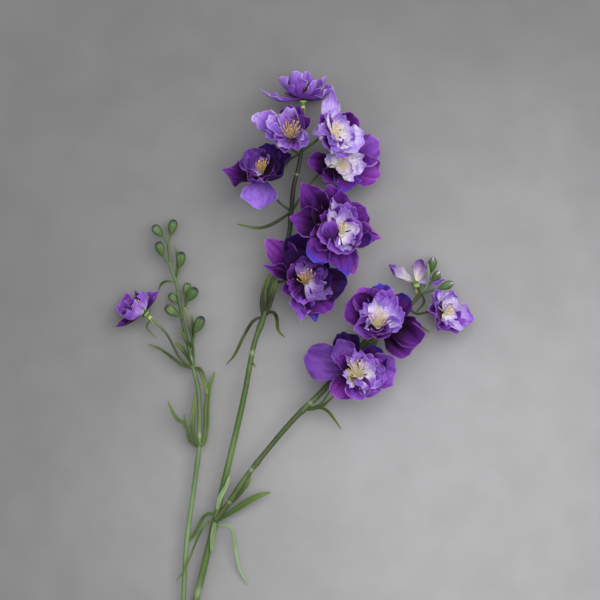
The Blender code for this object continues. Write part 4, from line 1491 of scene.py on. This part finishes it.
BLOOMS = {bloom.name: bloom for bloom in [
    Bloom("crown", (9, 288, 27), (0.0, 0.95, 0.30), [(8, 247, 25.5), (9, 266, 26)], [
        Petal((-35, 8, -4), 8.5, Tone.CROWN, belly=0.16, sharp=0.8),
        Petal((-19, 18, 4), 16, Tone.CROWN, belly=0.14),
        Petal((-8, 22, 13), 17, Tone.CROWN, belly=0.14),
        Petal((3, 23, -9), 15, Tone.CROWN),
        Petal((10, 14, 15), 12, Tone.CROWN, belly=0.14),
        Petal((20, 18, 1), 14, Tone.CROWN),
        Petal((25, 8, 9), 15, Tone.CROWN, belly=0.14),
        Petal((-7, 8, -31), 22, Tone.VIOLET),
        Petal((14, 6, -31), 22, Tone.VIOLET),
    ], frills=[
        # The two dark sheets are painted shadow in the heart's hollow
        Frill((3, 14, 6), 12, Tone.HOLLOW_SHADOW),
        Frill((-4, 15, 2), 10, Tone.HOLLOW_SHADOW),
        Frill((8, 13, 0), 11, Tone.LIGHT),
        Frill((0, 15, -4), 10, Tone.LIGHT),
    ], stamen_lean=(0, 0, 0), stamen_length=9, gold=0.8),
    Bloom("upper_left", (-2, 257, 41), (-0.10, 0.45, 0.88), [(6, 245, 25.5), (1, 248, 30)], [
        Petal((-30, 16, 3), 22, Tone.TIPPED),
        Petal((4, 26, -5), 22, Tone.DEEP),
        Petal((17, 15, 4), 14.5, Tone.DEEP),
        Petal((15, -6, 10), 17, Tone.LAVENDER, belly=0.14),
        Petal((-4, -12, 12), 22, Tone.VIOLET, belly=0.14),
        Petal((-19, 0, 10), 17, Tone.LAVENDER),
    ], frills=[
        Frill((-17.2, 15.8, 9), 17, Tone.TIPPED, cup=0.6),
        Frill((-0.4, 23.4, 10), 16, Tone.MAUVE),
        Frill((-6.5, 18.4, 12), 9.5, Tone.MAUVE),
        Frill((10, 17.4, 11), 14.6, Tone.CUP_DARK, cup=0.6),
        Frill((11.5, 3, 13), 12, Tone.MAUVE),
        Frill((2.4, -8.5, 12), 16, Tone.MAUVE, teeth=0.12),
        Frill((-11, -2.5, 12), 13, Tone.TIPPED),
        Frill((8.5, -5, 11), 12, Tone.MAUVE),
        # A dark sheet of painted shadow in the heart's hollow
        Frill((3, -3, 8), 8, Tone.HOLLOW_SHADOW),
    ], heart=(1.4, -2, 0), stamen_length=13, stamen_lean=(0.1, 0.75, 0), fan=1.7, gold=0.75),
    Bloom("upper_right", (28, 262, 38), (0.35, 0.15, 0.92), [(8, 247, 25), (18, 254, 28)], [
        Petal((5, 34, 6), 15.5, Tone.PALE, sharp=0.8),
        Petal((26, 7, -2), 23, Tone.DEEP),
        Petal((20, -15, 6), 22, Tone.LAVENDER),
        Petal((4, -17, 8), 19.5, Tone.VIOLET),
        Petal((-6, 14, 11), 10, Tone.VIOLET, sharp=0.7),
        Petal((-11, -2, 9), 12, Tone.PALE),
    ], frills=[
        Frill((5.2, 18.5, 11), 13, Tone.FRILL, teeth=0.12),
        Frill((12, 14, 9), 12, Tone.PALE, teeth=0.1),
        Frill((17.6, 6, 11), 17, Tone.FRILL, teeth=0.14),
        Frill((29, -9, 9), 26, Tone.FRILL, teeth=0.05, crumple=0.35),
        Frill((17, -20.5, 9), 23, Tone.PALE, teeth=0.05, crumple=0.35),
        Frill((23, -15, 10), 14, Tone.FRILL, teeth=0.1),
        Frill((20, -3, 11), 13, Tone.FRILL, teeth=0.14),
        Frill((2.4, -10.2, 12), 12, Tone.LAVENDER),
        Frill((0, 14, 12), 8.5, Tone.VIOLET, teeth=0),
        Frill((-6.5, 3.6, 12), 9.8, Tone.TIPPED),
        Frill((9, -7, 13), 9.8, Tone.FRILL, teeth=0.1),
    ], heart=(4.5, -4, 0), stamen_length=9, stamen_lean=(-0.2, 0.8, 0), stamens=16, fan=1.3, eye=3.4),
    Bloom("left", (-22, 224, 36), (-0.15, 0.60, 0.78), [(-2, 200, 23), (-11, 207, 25)], [
        Petal((-35, 7.5, -2), 21, Tone.DEEP, sharp=0.9),
        Petal((-14, 24, 2), 23, Tone.MUTED),
        Petal((5, 29, -6), 22, Tone.NAVY),
        Petal((21, 21, 2), 18.5, Tone.NIGHT),
        Petal((15, 5, 14), 19.5, Tone.NIGHT, belly=0.15),
        Petal((-11, -2, 15), 22, Tone.DEEP, belly=0.15),
        Petal((-4.5, -24.5, 3), 34, Tone.LAVENDER, belly=0.12, sharp=0.5, crumple=0.5),
    ], frills=[
        Frill((-19.6, 15.2, 9), 14.6, Tone.MUTED, cup=0.5),
        Frill((-8.4, 17, 10), 15.9, Tone.CUP_DARK),
        Frill((4.4, 22, 8), 15.9, Tone.NIGHT),
        Frill((-9, 7, 11), 8.5, Tone.CUP),
        Frill((12.4, 12, 10), 15.9, Tone.NIGHT),
        Frill((-1, 1.5, 15), 20.7, Tone.DEEP, cup=0.5),
        Frill((8, 4, 13), 11, Tone.CUP_DARK),
    ], heart=(-1, 3.5, 0), stamen_length=10, stamen_lean=(0, 0.7, 0), stamens=20, fan=1.3, gold=0.85),
    Bloom("right", (34, 237, 26), (0.55, -0.10, 0.83), [(1, 201, 23), (15, 222, 19)], [
        Petal((-22, 1, 6), 20.5, Tone.DEEP, belly=0.14),
        Petal((-9, -14, 7), 17, Tone.DEEP),
        Petal((7, -24, 0), 23, Tone.BLUE),
        Petal((36.5, -9.5, -9), 27, Tone.MAGENTA, sharp=0.2),
        Petal((35.5, 19.5, -9), 27, Tone.VIOLET, sharp=0.2),
        Petal((8, 20, -4), 19.5, Tone.VIOLET),
        Petal((20, 5, -31), 24.5, Tone.DEEP),
    ], frills=[
        Frill((-7.4, 4.6, 9), 12.2, Tone.GREENISH),
        Frill((-2, 7, 12), 8.5, Tone.FRILL),
        Frill((25, 3, 8), 20, Tone.FRILL, teeth=0.17),
        Frill((19, -9, 7), 18, Tone.GREENISH, teeth=0.17),
        Frill((6, -9, 10), 12.2, Tone.GREENISH),
        Frill((15, 10, 10), 15.9, Tone.CUP),
        Frill((14, -3, 12), 13, Tone.FRILL, teeth=0.11),
    ], heart=(3, -2, 0), stamen_length=8, stamen_lean=(0.3, 0.7, 0), stamens=14, fan=1.3, eye=4.5),
    Bloom("large", (33, 184, 44), (0.15, -0.05, 0.98), [(-4, 173, 22), (8, 176, 27), (24, 181, 33)], [
        Petal((-26, 36.5, -6), 24.5, Tone.DEEP, sharp=0.5),
        Petal((-35, 9.5, 2), 26, Tone.DEEP, sharp=0.5, crumple=0.8),
        Petal((-18, -25, 2), 24.5, Tone.BLUE, sharp=0.0),
        Petal((11, -38, 3), 23.5, Tone.BLUE, sharp=0.7),
        Petal((15.5, -36.5, -8), 22.5, Tone.MAGENTA),
        Petal((30, -10, 4), 22, Tone.NAVY, belly=0.14),
        Petal((38, -6.5, -8), 22.5, Tone.MAGENTA, sharp=0.7),
        Petal((27, 15, -5), 29.5, Tone.DEEP, sharp=0.2),
        Petal((6, 31, 6), 19.5, Tone.DEEP),
        Petal((-3, 36, -8), 17, Tone.DEEP),
    ], frills=[
        Frill((-13.2, 26.6, 13), 7, Tone.NAVY, cup=0.1, turn=62, crumple=0.2, root=(-12, -1.5, 8)),
        Frill((-19, -9, 8), 22, Tone.DEEP),
        Frill((11, 21, 10), 22, Tone.VIOLET, cup=0.5, crumple=0.3),
        Frill((22, 3, 11), 22, Tone.VIOLET, cup=0.5, crumple=0.3),
        Frill((20, -13, 10), 20, Tone.VIOLET, cup=0.5, crumple=0.3),
        Frill((4, -20, 10), 24, Tone.VIOLET, cup=0.5, crumple=0.3),
        Frill((-13, -3, 11), 20, Tone.VIOLET, cup=0.5, crumple=0.3),
        Frill((-9, 13, 10), 15, Tone.DEEP, cup=0.5),
        Frill((-1, 24, 15), 11, Tone.FRILL, sharp=0.5, teeth=0.14),
        Frill((-3.5, 15.5, 16), 9, Tone.FRILL, teeth=0.16),
        Frill((9, 16, 15), 14, Tone.PALE, cup=0.5),
        Frill((19, 2.5, 15), 14, Tone.FRILL, cup=0.4, teeth=0.12),
        Frill((15, -9, 14), 13, Tone.PALE, teeth=0.12),
        Frill((12, -17, 13), 14, Tone.FRILL, teeth=0.16),
        Frill((4.5, -15, 12), 10, Tone.LAVENDER),
        Frill((-3.5, 5.5, 19), 13, Tone.VIOLET, cup=-0.15, teeth=0, crumple=0.15, root=(0.5, -10, 10)),
    ], heart=(5.5, -3.5, 0), stamen_length=10, stamen_lean=(0, 1.1, 0), stamens=13, fan=0.5, eye=2.6),
    Bloom("lower_left", (10, 144, 32), (0.20, -0.05, 0.97), [(-15, 142, 20), (-4, 143, 21)], [
        Petal((-31, 33, -4), 23.5, Tone.MAGENTA, sharp=0.4, crumple=0.6),
        Petal((-10, 36, 0), 29.5, Tone.NIGHT, sharp=0.0),
        Petal((-34, 12, 4), 13.5, Tone.DEEP, sharp=0.9),
        Petal((-3, -33, 4), 21, Tone.VIOLET, sharp=0.7),
        Petal((-18, -9, 1), 15, Tone.DEEP),
        Petal((9, -34, -3), 20, Tone.BLUE, sharp=0.7),
        Petal((20.5, -25.5, 3), 28, Tone.DEEP),
        Petal((34.5, -3, -4), 28, Tone.NIGHT),
        Petal((16, 20, -4), 24.5, Tone.NIGHT),
    ], frills=[
        Frill((-11.5, 25, 7), 24.4, Tone.NIGHT, cup=0.5, teeth=0),
        Frill((-11, 12, 10), 19.5, Tone.DEEP),
        Frill((-5.2, 12.8, 12), 8.5, Tone.MIST),
        Frill((1.2, 19.2, 9), 20.7, Tone.CUP_DARK),
        Frill((14, 13.6, 9), 19.5, Tone.CUP_DARK),
        Frill((22, 3.2, 8), 20.7, Tone.NIGHT),
        Frill((12, 4, 11), 12.2, Tone.CUP_DARK),
        Frill((22, -11, 8), 16, Tone.MIST, teeth=0.17),
        Frill((11, -15, 10), 15, Tone.MIST, teeth=0.11),
        Frill((15.5, -5.5, 10), 11, Tone.MIST, teeth=0.1),
        Frill((-2, -19, 9), 18.3, Tone.VIOLET),
        Frill((-12.5, -8.6, 9), 17.1, Tone.DEEP),
    ], heart=(0.5, -2, 0), stamen_length=12, stamen_lean=(-0.35, 0.8, 0), stamens=19, fan=1.2, gold=0.9),
    Bloom("branch_upper", (72, 110, 38), (-0.05, 0.15, 0.98), [(71, 104, 19), (72, 107, 25)], [
        Petal((-29, 15.5, 0), 30.5, Tone.DEEP, sharp=0.1),
        Petal((-19.5, 27.5, -4), 24.5, Tone.MAGENTA),
        Petal((-1, 31, -7), 22, Tone.BLUE, sharp=0.2),
        Petal((21, 21, -6), 24.5, Tone.NAVY),
        Petal((24, -23.5, -6), 34, Tone.DEEP, crumple=0.5, sharp=0.12),
        Petal((30.5, -14, -7), 27, Tone.DEEP, crumple=0.5, sharp=0.12),
        Petal((-5, -14, 12), 22, Tone.DEEP, belly=0.15),
        Petal((-23, -6, 7), 19, Tone.VIOLET),
    ], frills=[
        Frill((6.4, 27, 7), 20.7, Tone.VIOLET, cup=0.5),
        Frill((-0.8, 23.6, 11), 15.9, Tone.CUP, teeth=0.11),
        Frill((-15, 15.6, 10), 17.1, Tone.CUP, teeth=0.14),
        Frill((-7, 18, 14), 12.2, Tone.FRILL, teeth=0.11),
        Frill((8.8, 19.6, 13), 15.9, Tone.CUP, teeth=0.11),
        Frill((16.4, 10, 11), 19.5, Tone.CUP, cup=0.5),
        Frill((14.5, -1, 12), 15, Tone.LAVENDER, cup=0.5),
        Frill((-12, 4, 12), 14.6, Tone.FRILL, teeth=0.08),
        Frill((4, -6.5, 14), 14, Tone.VIOLET, cup=0.6),
        Frill((-5, -6.5, 14), 11, Tone.VIOLET, cup=0.6),
        Frill((-13, -2, 11), 12, Tone.LAVENDER, cup=0.5),
        # A dark sheet of painted shadow in the heart's hollow
        Frill((-1, -6, 9), 6, Tone.HOLLOW_SHADOW),
    ], heart=(-3.5, -3.5, 0), stamen_length=14, stamen_lean=(0.15, 0.8, 0), fan=1.3, gold=0.2, eye=2.4),
    Bloom("branch_lower", (48, 72, 36), (0.10, 0.0, 0.99), [(40, 71, 19), (44, 72, 24)], [
        Petal((-38, 12, -4), 32, Tone.MUTED, sharp=0.1, crumple=0.7),
        Petal((-9.5, 30, -8), 22, Tone.NIGHT),
        Petal((-12, 25, 5), 22, Tone.MUTED),
        Petal((26, 13.5, -4), 27, Tone.NAVY, sharp=0.2),
        Petal((35, -3, -7), 30.5, Tone.VIOLET, sharp=0.1, crumple=0.6),
        Petal((22, -18, 0), 25.5, Tone.VIOLET),
        Petal((8, -24, 4), 23, Tone.VIOLET),
        Petal((-14, -22, -1), 24.5, Tone.MAGENTA),
    ], frills=[
        Frill((17, 12, 9), 20, Tone.VIOLET, cup=0.4, crumple=0.3),
        Frill((27, -2, 7), 22, Tone.VIOLET, cup=0.4, crumple=0.3),
        Frill((20, -15, 7), 22, Tone.VIOLET, cup=0.4, crumple=0.3),
        Frill((3.2, 17, 12), 13, Tone.CUP, teeth=0.19),
        Frill((15, 9, 11), 14, Tone.PALE, teeth=0.06, crumple=0.3),
        Frill((24.5, -5.5, 9), 20, Tone.CUP, teeth=0.08, crumple=0.3),
        Frill((16, -12, 9), 16, Tone.CUP, teeth=0.06, crumple=0.3),
        Frill((18, 0, 11), 11, Tone.FRILL, teeth=0.17),
        Frill((10.6, -20.4, 9), 7, Tone.FRILL, sharp=0.9),
        Frill((4.8, -12, 11), 9, Tone.LAVENDER, teeth=0.17),
        Frill((-4.5, -10, 11), 11, Tone.FRILL, teeth=0.17),
        Frill((-7.5, -2.5, 11), 8, Tone.FRILL, teeth=0.11),
        Frill((-3, -6, 10), 7, Tone.OLIVE),
        Frill((-10.5, 12.5, 13), 14, Tone.DEEP, teeth=0),
        Frill((-4.5, 13, 12), 6, Tone.PALE),
    ], heart=(5.5, -4.5, 0), stamen_length=15, stamen_lean=(-0.5, 0.85, 0), fan=1.2, gold=0.25, eye=2.8),
    Bloom("branch_small", (118, 119, 20), (0.65, -0.05, 0.75), [
        (93, 122, 18), (100, 117, 15), (108, 118, 13),
    ], [
        Petal((-5, 17, 7), 17, Tone.LIGHT),
        Petal((11, 17, 2), 17, Tone.PALE),
        Petal((29, -7, -2), 24, Tone.PALE, sharp=0.6, crumple=0.25),
        Petal((15, -18, 1), 22, Tone.VIOLET, crumple=0.25),
        Petal((-1, -16, 7), 16, Tone.VIOLET),
        Petal((-10, 2, 10), 14, Tone.VIOLET),
        Petal((14, 3, -25), 19.5, Tone.VIOLET),
    ], frills=[
        Frill((1, 16, 9), 14, Tone.FRILL, teeth=0.08, crumple=0.4),
        Frill((12, 12, 8), 15, Tone.FRILL, teeth=0.12),
        Frill((13.5, 1, 8), 11, Tone.FRILL, teeth=0.14),
        Frill((13.5, -6, 7), 11, Tone.FRILL, teeth=0.14),
        Frill((7, -11.5, 8), 10, Tone.PALE, teeth=0.12),
        Frill((-3, -8, 11), 9, Tone.VIOLET),
        Frill((-2.5, 6, 14), 11, Tone.VIOLET),
        # A dark sheet of painted shadow in the heart's hollow
        Frill((0, -7, 10), 6, Tone.HOLLOW_SHADOW),
        Frill((9, 6, 11), 9, Tone.FRILL),
    ], heart=(2, -0.5, 0), stamen_length=7, stamen_lean=(0.2, 0.5, 0), stamens=14, eye=2.2),
    Bloom("bud_stem", (-118, 118, 15), (-0.62, 0.70, 0.35), [
        (-80, 73, 11.5), (-90, 81, 14), (-96, 92, 15), (-102, 102, 14),
    ], [
        Petal((-18.5, -3.5, 12), 22, Tone.LIGHT, belly=0.14),
        Petal((-26.5, -12, -3), 13, Tone.DEEP, sharp=0.8),
        Petal((-24, 3, -6), 19, Tone.VIOLET),
        Petal((-17, 9, 2), 12, Tone.VIOLET),
        Petal((-9, 18, -4), 10, Tone.DEEP, sharp=0.8),
        Petal((-2, 18, 8), 12, Tone.LIGHT, belly=0.14),
        Petal((11, 18, 2), 12.5, Tone.VIOLET, sharp=0.6),
        Petal((-10, 2, -20), 16, Tone.VIOLET),
    ], ring_length=10, stamen_length=7, stamen_lean=(0, 0, 0)),
    Bloom("branch_opening", (100, 141, 20), (-0.05, 0.70, 0.72), [(104, 134, 18)], [
        Petal((-23, 15, 0), 11, Tone.OPENING, belly=0.22, cup=0.9, sharp=0.3, crumple=0.2),
        Petal((4, 20, 8), 12.5, Tone.PLUM, belly=0.14, cup=0.4, sharp=0.1, crumple=0.3),
        Petal((24, 3, -7), 10, Tone.LIGHT, cup=0.6, sharp=0.8, crumple=0.5),
    ], open=False),
]}

MAIN_STEM = Stem(
    "main_stem",
    route=[
        (-119, -311, 2.7), (-105, -244, 3.4), (-90, -166, 5.5), (-77, -112, 8), (-54, -16, 13),
        (-39, 48, 17), (-31, 90, 19), (-23, 114, 20), (-15, 144, 21), (-7, 166, 22), (-2, 183, 23),
        (1, 216, 24), (5, 233, 25), (8, 248, 25.5),
    ],
    radii=[2.7, 2.7, 2.6, 2.6, 2.4, 2.2, 2.0, 2.2, 2.0, 1.9, 1.8, 1.7, 1.6, 1.4],
    leaves=[
        Leaf([
            (-62, -51, 9.5), (-48, -43, 8.5), (-35, -34, 10), (-25.5, -29, 11), (-17.5, -27, 10),
        ], 5.0),
        Leaf([
            (-61, -54, 10), (-54, -53, 12), (-48, -57, 11), (-45, -77, 7), (-42, -91, 4), (-36, -102, 2),
        ], 2.8, 0.8),
        Leaf([(-62, -45, 12), (-68, -44, 13), (-73, -49, 10), (-79, -61, 5), (-86, -69, 3)], 3.4),
        Leaf([(-62, -50, 12), (-69, -52, 15), (-76, -64, 16), (-85, -86, 15), (-93, -98, 12)], 2.2),
        Leaf([(-62, -51, 13.5), (-64, -64, 15), (-65, -75, 14)], 4.8, 0.4),
        Leaf([(-60.5, -41, 13.3), (-58, -31, 17), (-53, -21.5, 17.5), (-50.5, -13.5, 17)], 4.4, 0.6),
        Leaf([(-23, 115, 20), (-31, 111, 22), (-38, 100, 20), (-46, 84, 15), (-53, 76, 11)], 2.8),
        Leaf([(-22, 117, 20), (-15, 118, 22), (-12, 113, 20), (-11, 104, 16), (-6, 98, 12)], 3.0),
        Leaf([(-23, 116, 21), (-23, 127, 23), (-21.5, 139, 23), (-17.5, 149, 21)], 6.0),
        Leaf([(-20.5, 116, 21), (-16, 133, 23.5), (-11.5, 147, 23)], 5.0),
        Leaf([(-34, 80, 19), (-29, 74, 20)], 1.6),
        Leaf([(-1, 198, 23.5), (-12, 191, 23), (-21, 187, 21), (-30, 186, 19), (-44, 189, 16)], 3.0),
        Leaf([(7, 245, 25), (-2, 240, 24), (-5, 231, 22)], 1.6),
    ],
    joints=[0.235, 0.452, 0.745, 0.9],
    blooms=[BLOOMS[name] for name in (
        "crown", "upper_left", "upper_right", "left", "right", "large", "lower_left",
    )],
)

RIGHT_BRANCH = Stem(
    "right_branch",
    route=[
        (-62, -50, 12), (-49.5, -33, 15), (-38, -15.5, 17), (-19.5, 8, 18), (1, 32, 19), (23.5, 54, 19),
        (41, 74, 19), (58, 94, 19), (74, 107, 19), (94, 123, 18), (104, 134, 18),
    ],
    radii=[2.2, 2.2, 2.1, 2.0, 2.1, 2.3, 2.2, 1.9, 1.8, 1.6, 1.4],
    leaves=[
        Leaf([
            (10, 39.5, 18.5), (16, 40.5, 20), (23.5, 41.5, 20), (29, 38.5, 17), (34, 32, 12), (39.5, 24, 7),
        ], 2.6),
        Leaf([(11, 40.5, 18.5), (17, 42, 19), (22.5, 44.5, 19), (27, 49.5, 18), (31.5, 57, 15)], 2.2),
        Leaf([(10.5, 40, 18), (20, 41.5, 18.5), (25.5, 43.5, 17.5), (29, 46.5, 16), (35, 52, 14)], 2.8),
        Leaf([(-49, -36, 13), (-42, -27.5, 14), (-36, -19.5, 15), (-33, -12.5, 16)], 3.6),
        Leaf([(54, 88, 18), (62, 91, 15), (70, 99, 14)], 7.0),
        Leaf([(88, 118, 18), (93, 112, 17), (101, 108, 13), (111, 102, 8)], 3.0),
        Leaf([(104, 133, 17), (106, 126, 14), (99, 117, 11)], 1.8),
        Leaf([(103.5, 134, 18.5), (107.5, 139, 24), (109, 148, 29), (108.5, 157, 32)], 2.6, 0.6),
    ],
    buds=[
        Bud((105, 134, 17), (112, 150, 10.5), (114, 163, 11), 8.0, 0.8),
        Bud((104, 134, 17.5), (112, 143, 24), (119, 151, 26), 7.5, 1.0),
        Bud((104, 133, 18), (117, 137, 21.5), (130, 142, 22.5), 7.5, 0.7),
    ],
    joints=[0.093, 0.233, 0.46],
    low_green=(72, 88, 44),
    high_green=(56, 66, 34),
    blooms=[BLOOMS[name] for name in ("branch_upper", "branch_lower", "branch_small", "branch_opening")],
)

LEFT_BRANCH = Stem(
    "left_branch",
    route=[
        (-90.5, -168, 5.5), (-90.4, -150, 7), (-88, -120, 9), (-85, -68, 11), (-78, -16, 11), (-75, 10, 11),
        (-75, 49, 11), (-79, 72, 11), (-88, 110, 11), (-93, 141, 11), (-97, 152, 11), (-100, 174, 11),
    ],
    radii=[1.9, 1.9, 1.8, 1.8, 1.8, 1.7, 1.7, 1.6, 1.4, 1.3, 1.2, 1.1],
    stalks=[
        [(-79, 73, 11), (-80, 93, 12), (-83, 106, 12), (-87, 125, 11)],
    ],
    leaves=[
        Leaf([(-79, 72, 11), (-89, 76, 12), (-98, 83, 11), (-107, 89, 8), (-116, 92, 6)], 2.8),
        Leaf([(-80, 75, 12), (-85, 85, 15.5), (-89, 90, 16), (-94, 93, 15)], 4.0),
        Leaf([(-79, 73, 12), (-74, 72, 14), (-71, 64, 14), (-68, 51, 12)], 4.2),
        Leaf([
            (-75, 10, 11), (-71, 13, 11), (-69, 24, 9), (-68.5, 42, 7), (-66.5, 58, 7), (-62.5, 70, 7),
        ], 5.0),
        Leaf([(-75, 10, 12), (-79.5, 19, 15), (-80.5, 28, 15), (-79, 40, 15), (-78, 54, 14)], 4.6),
        Leaf([(-75, 9, 11), (-82, 14, 12), (-85, 25, 12), (-87, 36, 12)], 2.8),
        Leaf([(-84, 24, 12), (-87.5, 29, 12.5), (-93, 32.5, 12.5), (-97, 39.5, 12), (-100, 46.5, 11)], 3.0),
        Leaf([(-94, 142, 10), (-92, 160, 8), (-95, 174, 9)], 2.6),
        Leaf([(-80, 90, 12), (-85, 96, 15), (-91, 106, 15)], 3.4),
        Leaf([(-80, 96, 11), (-80, 107, 9), (-81, 116, 8)], 2.6),
        Leaf([(-93, 142, 11), (-101, 143, 12), (-106, 140, 10), (-108, 134, 7)], 2.2),
        Leaf([(-113, 113, 13), (-117, 106, 10), (-109, 97, 9)], 1.6),
    ],
    buds=[
        Bud((-100, 173, 11), (-104, 179, 12), (-112, 188, 13), 8.0),
        Bud((-100, 173, 11), (-98, 180, 10), (-95, 193, 10), 8.0),
        Bud((-97, 155, 11), (-104, 163, 13), (-108, 175, 14), 8.4),
        Bud((-94, 142, 11), (-90, 154, 13), (-89, 167, 14), 8.4),
        Bud((-86, 124, 11), (-86, 131, 8), (-84, 142, 7), 7.0),
        Bud((-86, 123, 12), (-84, 127, 14), (-77, 138, 15), 9.0),
        Bud((-90, 122, 11), (-92, 126, 9), (-99, 133, 8), 7.0),
        Bud((-88, 112, 11), (-91, 115, 14), (-102, 123, 15), 8.2),
        Bud((-80, 92, 12), (-78, 101, 14), (-72, 115, 15), 9.0),
    ],
    joints=[0.477, 0.66],
    low_green=(106, 132, 86),
    high_green=(74, 96, 54),
    leaf_tint=(0.56, 0.58, 0.3),
    blooms=[BLOOMS["bud_stem"]],
)


@dataclass(frozen=True)
class Studio:
    """The table, the lights and the camera that looks down on the spray."""

    view_centre: Point = (6.4, 128.0, 25.0)
    camera_height: float = 2000.0
    view_span: float = 480.0
    floor_half: float = 4000.0
    world_strength: float = 0.24
    floor_points: int = 9
    room_colour: Colour = (0.97, 0.98, 1.0)

    def build(self, finishes: Finishes) -> None:
        """Builds the studio.

        Args:
            finishes: The materials.
        """
        self.build_floor(finishes)
        self.build_lights()
        self.build_camera()
        bpy.context.scene.view_settings.view_transform = "Standard"
        log.info("studio built")

    def build_floor(self, finishes: Finishes) -> None:
        """Builds the pale table top."""
        form = Form()
        ends = np.linspace(-self.floor_half, self.floor_half, self.floor_points)
        points = np.array([[(x, y, 0.0) for x in ends] for y in ends])
        flat = np.zeros(points.shape[:2])
        form.grid(points, flat, flat, np.ones(3))
        floor = form.finished("table_top", finishes.floor)

    def build_lights(self) -> None:
        """Hangs a large soft key from the upper right, and a weaker fill from the left."""
        key, fill = (1350.0, 950.0, 3600.0), (-1500.0, 600.0, 3000.0)
        self.area_light("key", key, size=4200.0, power=172.0, colour=(1.0, 0.99, 0.975))
        self.area_light("fill", fill, size=3000.0, power=26.0, colour=self.room_colour)
        world = bpy.data.worlds.new("soft_room")
        bpy.context.scene.world = world
        world.use_nodes = True
        background = world.node_tree.nodes["Background"]
        background.inputs["Color"].default_value = (*self.room_colour, 1)
        background.inputs["Strength"].default_value = self.world_strength

    def area_light(self, name: str, place: Point, size: float, power: float, colour: Colour) -> None:
        """Hangs one square light, turned to the middle of the view.

        Args:
            name: The light's name.
            place: Where it hangs, in millimetres.
            size: Its side in millimetres.
            power: Its power in watts.
            colour: Its colour.
        """
        data = bpy.data.lights.new(name, "AREA")
        data.size = size * MM
        data.energy = power
        data.color = colour
        lamp = bpy.data.objects.new(name, data)
        bpy.context.scene.collection.objects.link(lamp)
        offset = spot(place) - spot(self.view_centre)
        lamp.location = spot(place) * MM
        flat = math.hypot(offset[0], offset[1])
        lamp.rotation_euler = (math.atan2(flat, offset[2]), 0, math.atan2(offset[0], -offset[1]))

    def build_camera(self) -> None:
        """Sets the camera straight above the view's centre, with the photograph's framing."""
        data = bpy.data.cameras.new("camera")
        distance = self.camera_height - self.view_centre[2]
        data.sensor_width = 36.0
        data.lens = data.sensor_width * distance / self.view_span
        data.clip_end = 20.0
        camera = bpy.data.objects.new("camera", data)
        camera.location = spot((*self.view_centre[:2], self.camera_height)) * MM
        bpy.context.scene.collection.objects.link(camera)
        bpy.context.scene.camera = camera


def main() -> None:
    """Loads the frame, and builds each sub-assembly over it."""
    logging.basicConfig(level=logging.INFO, format="%(name)s: %(message)s")
    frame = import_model()
    log.info("frame loaded: %d nodes", len(frame["nodes"]))
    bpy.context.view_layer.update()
    finishes = Finishes.made()
    Studio().build(finishes)
    for stem in (MAIN_STEM, RIGHT_BRANCH, LEFT_BRANCH):
        stem.build(finishes)
    for bloom in BLOOMS.values():
        bloom.build(finishes)


if __name__ == "__main__":
    main()
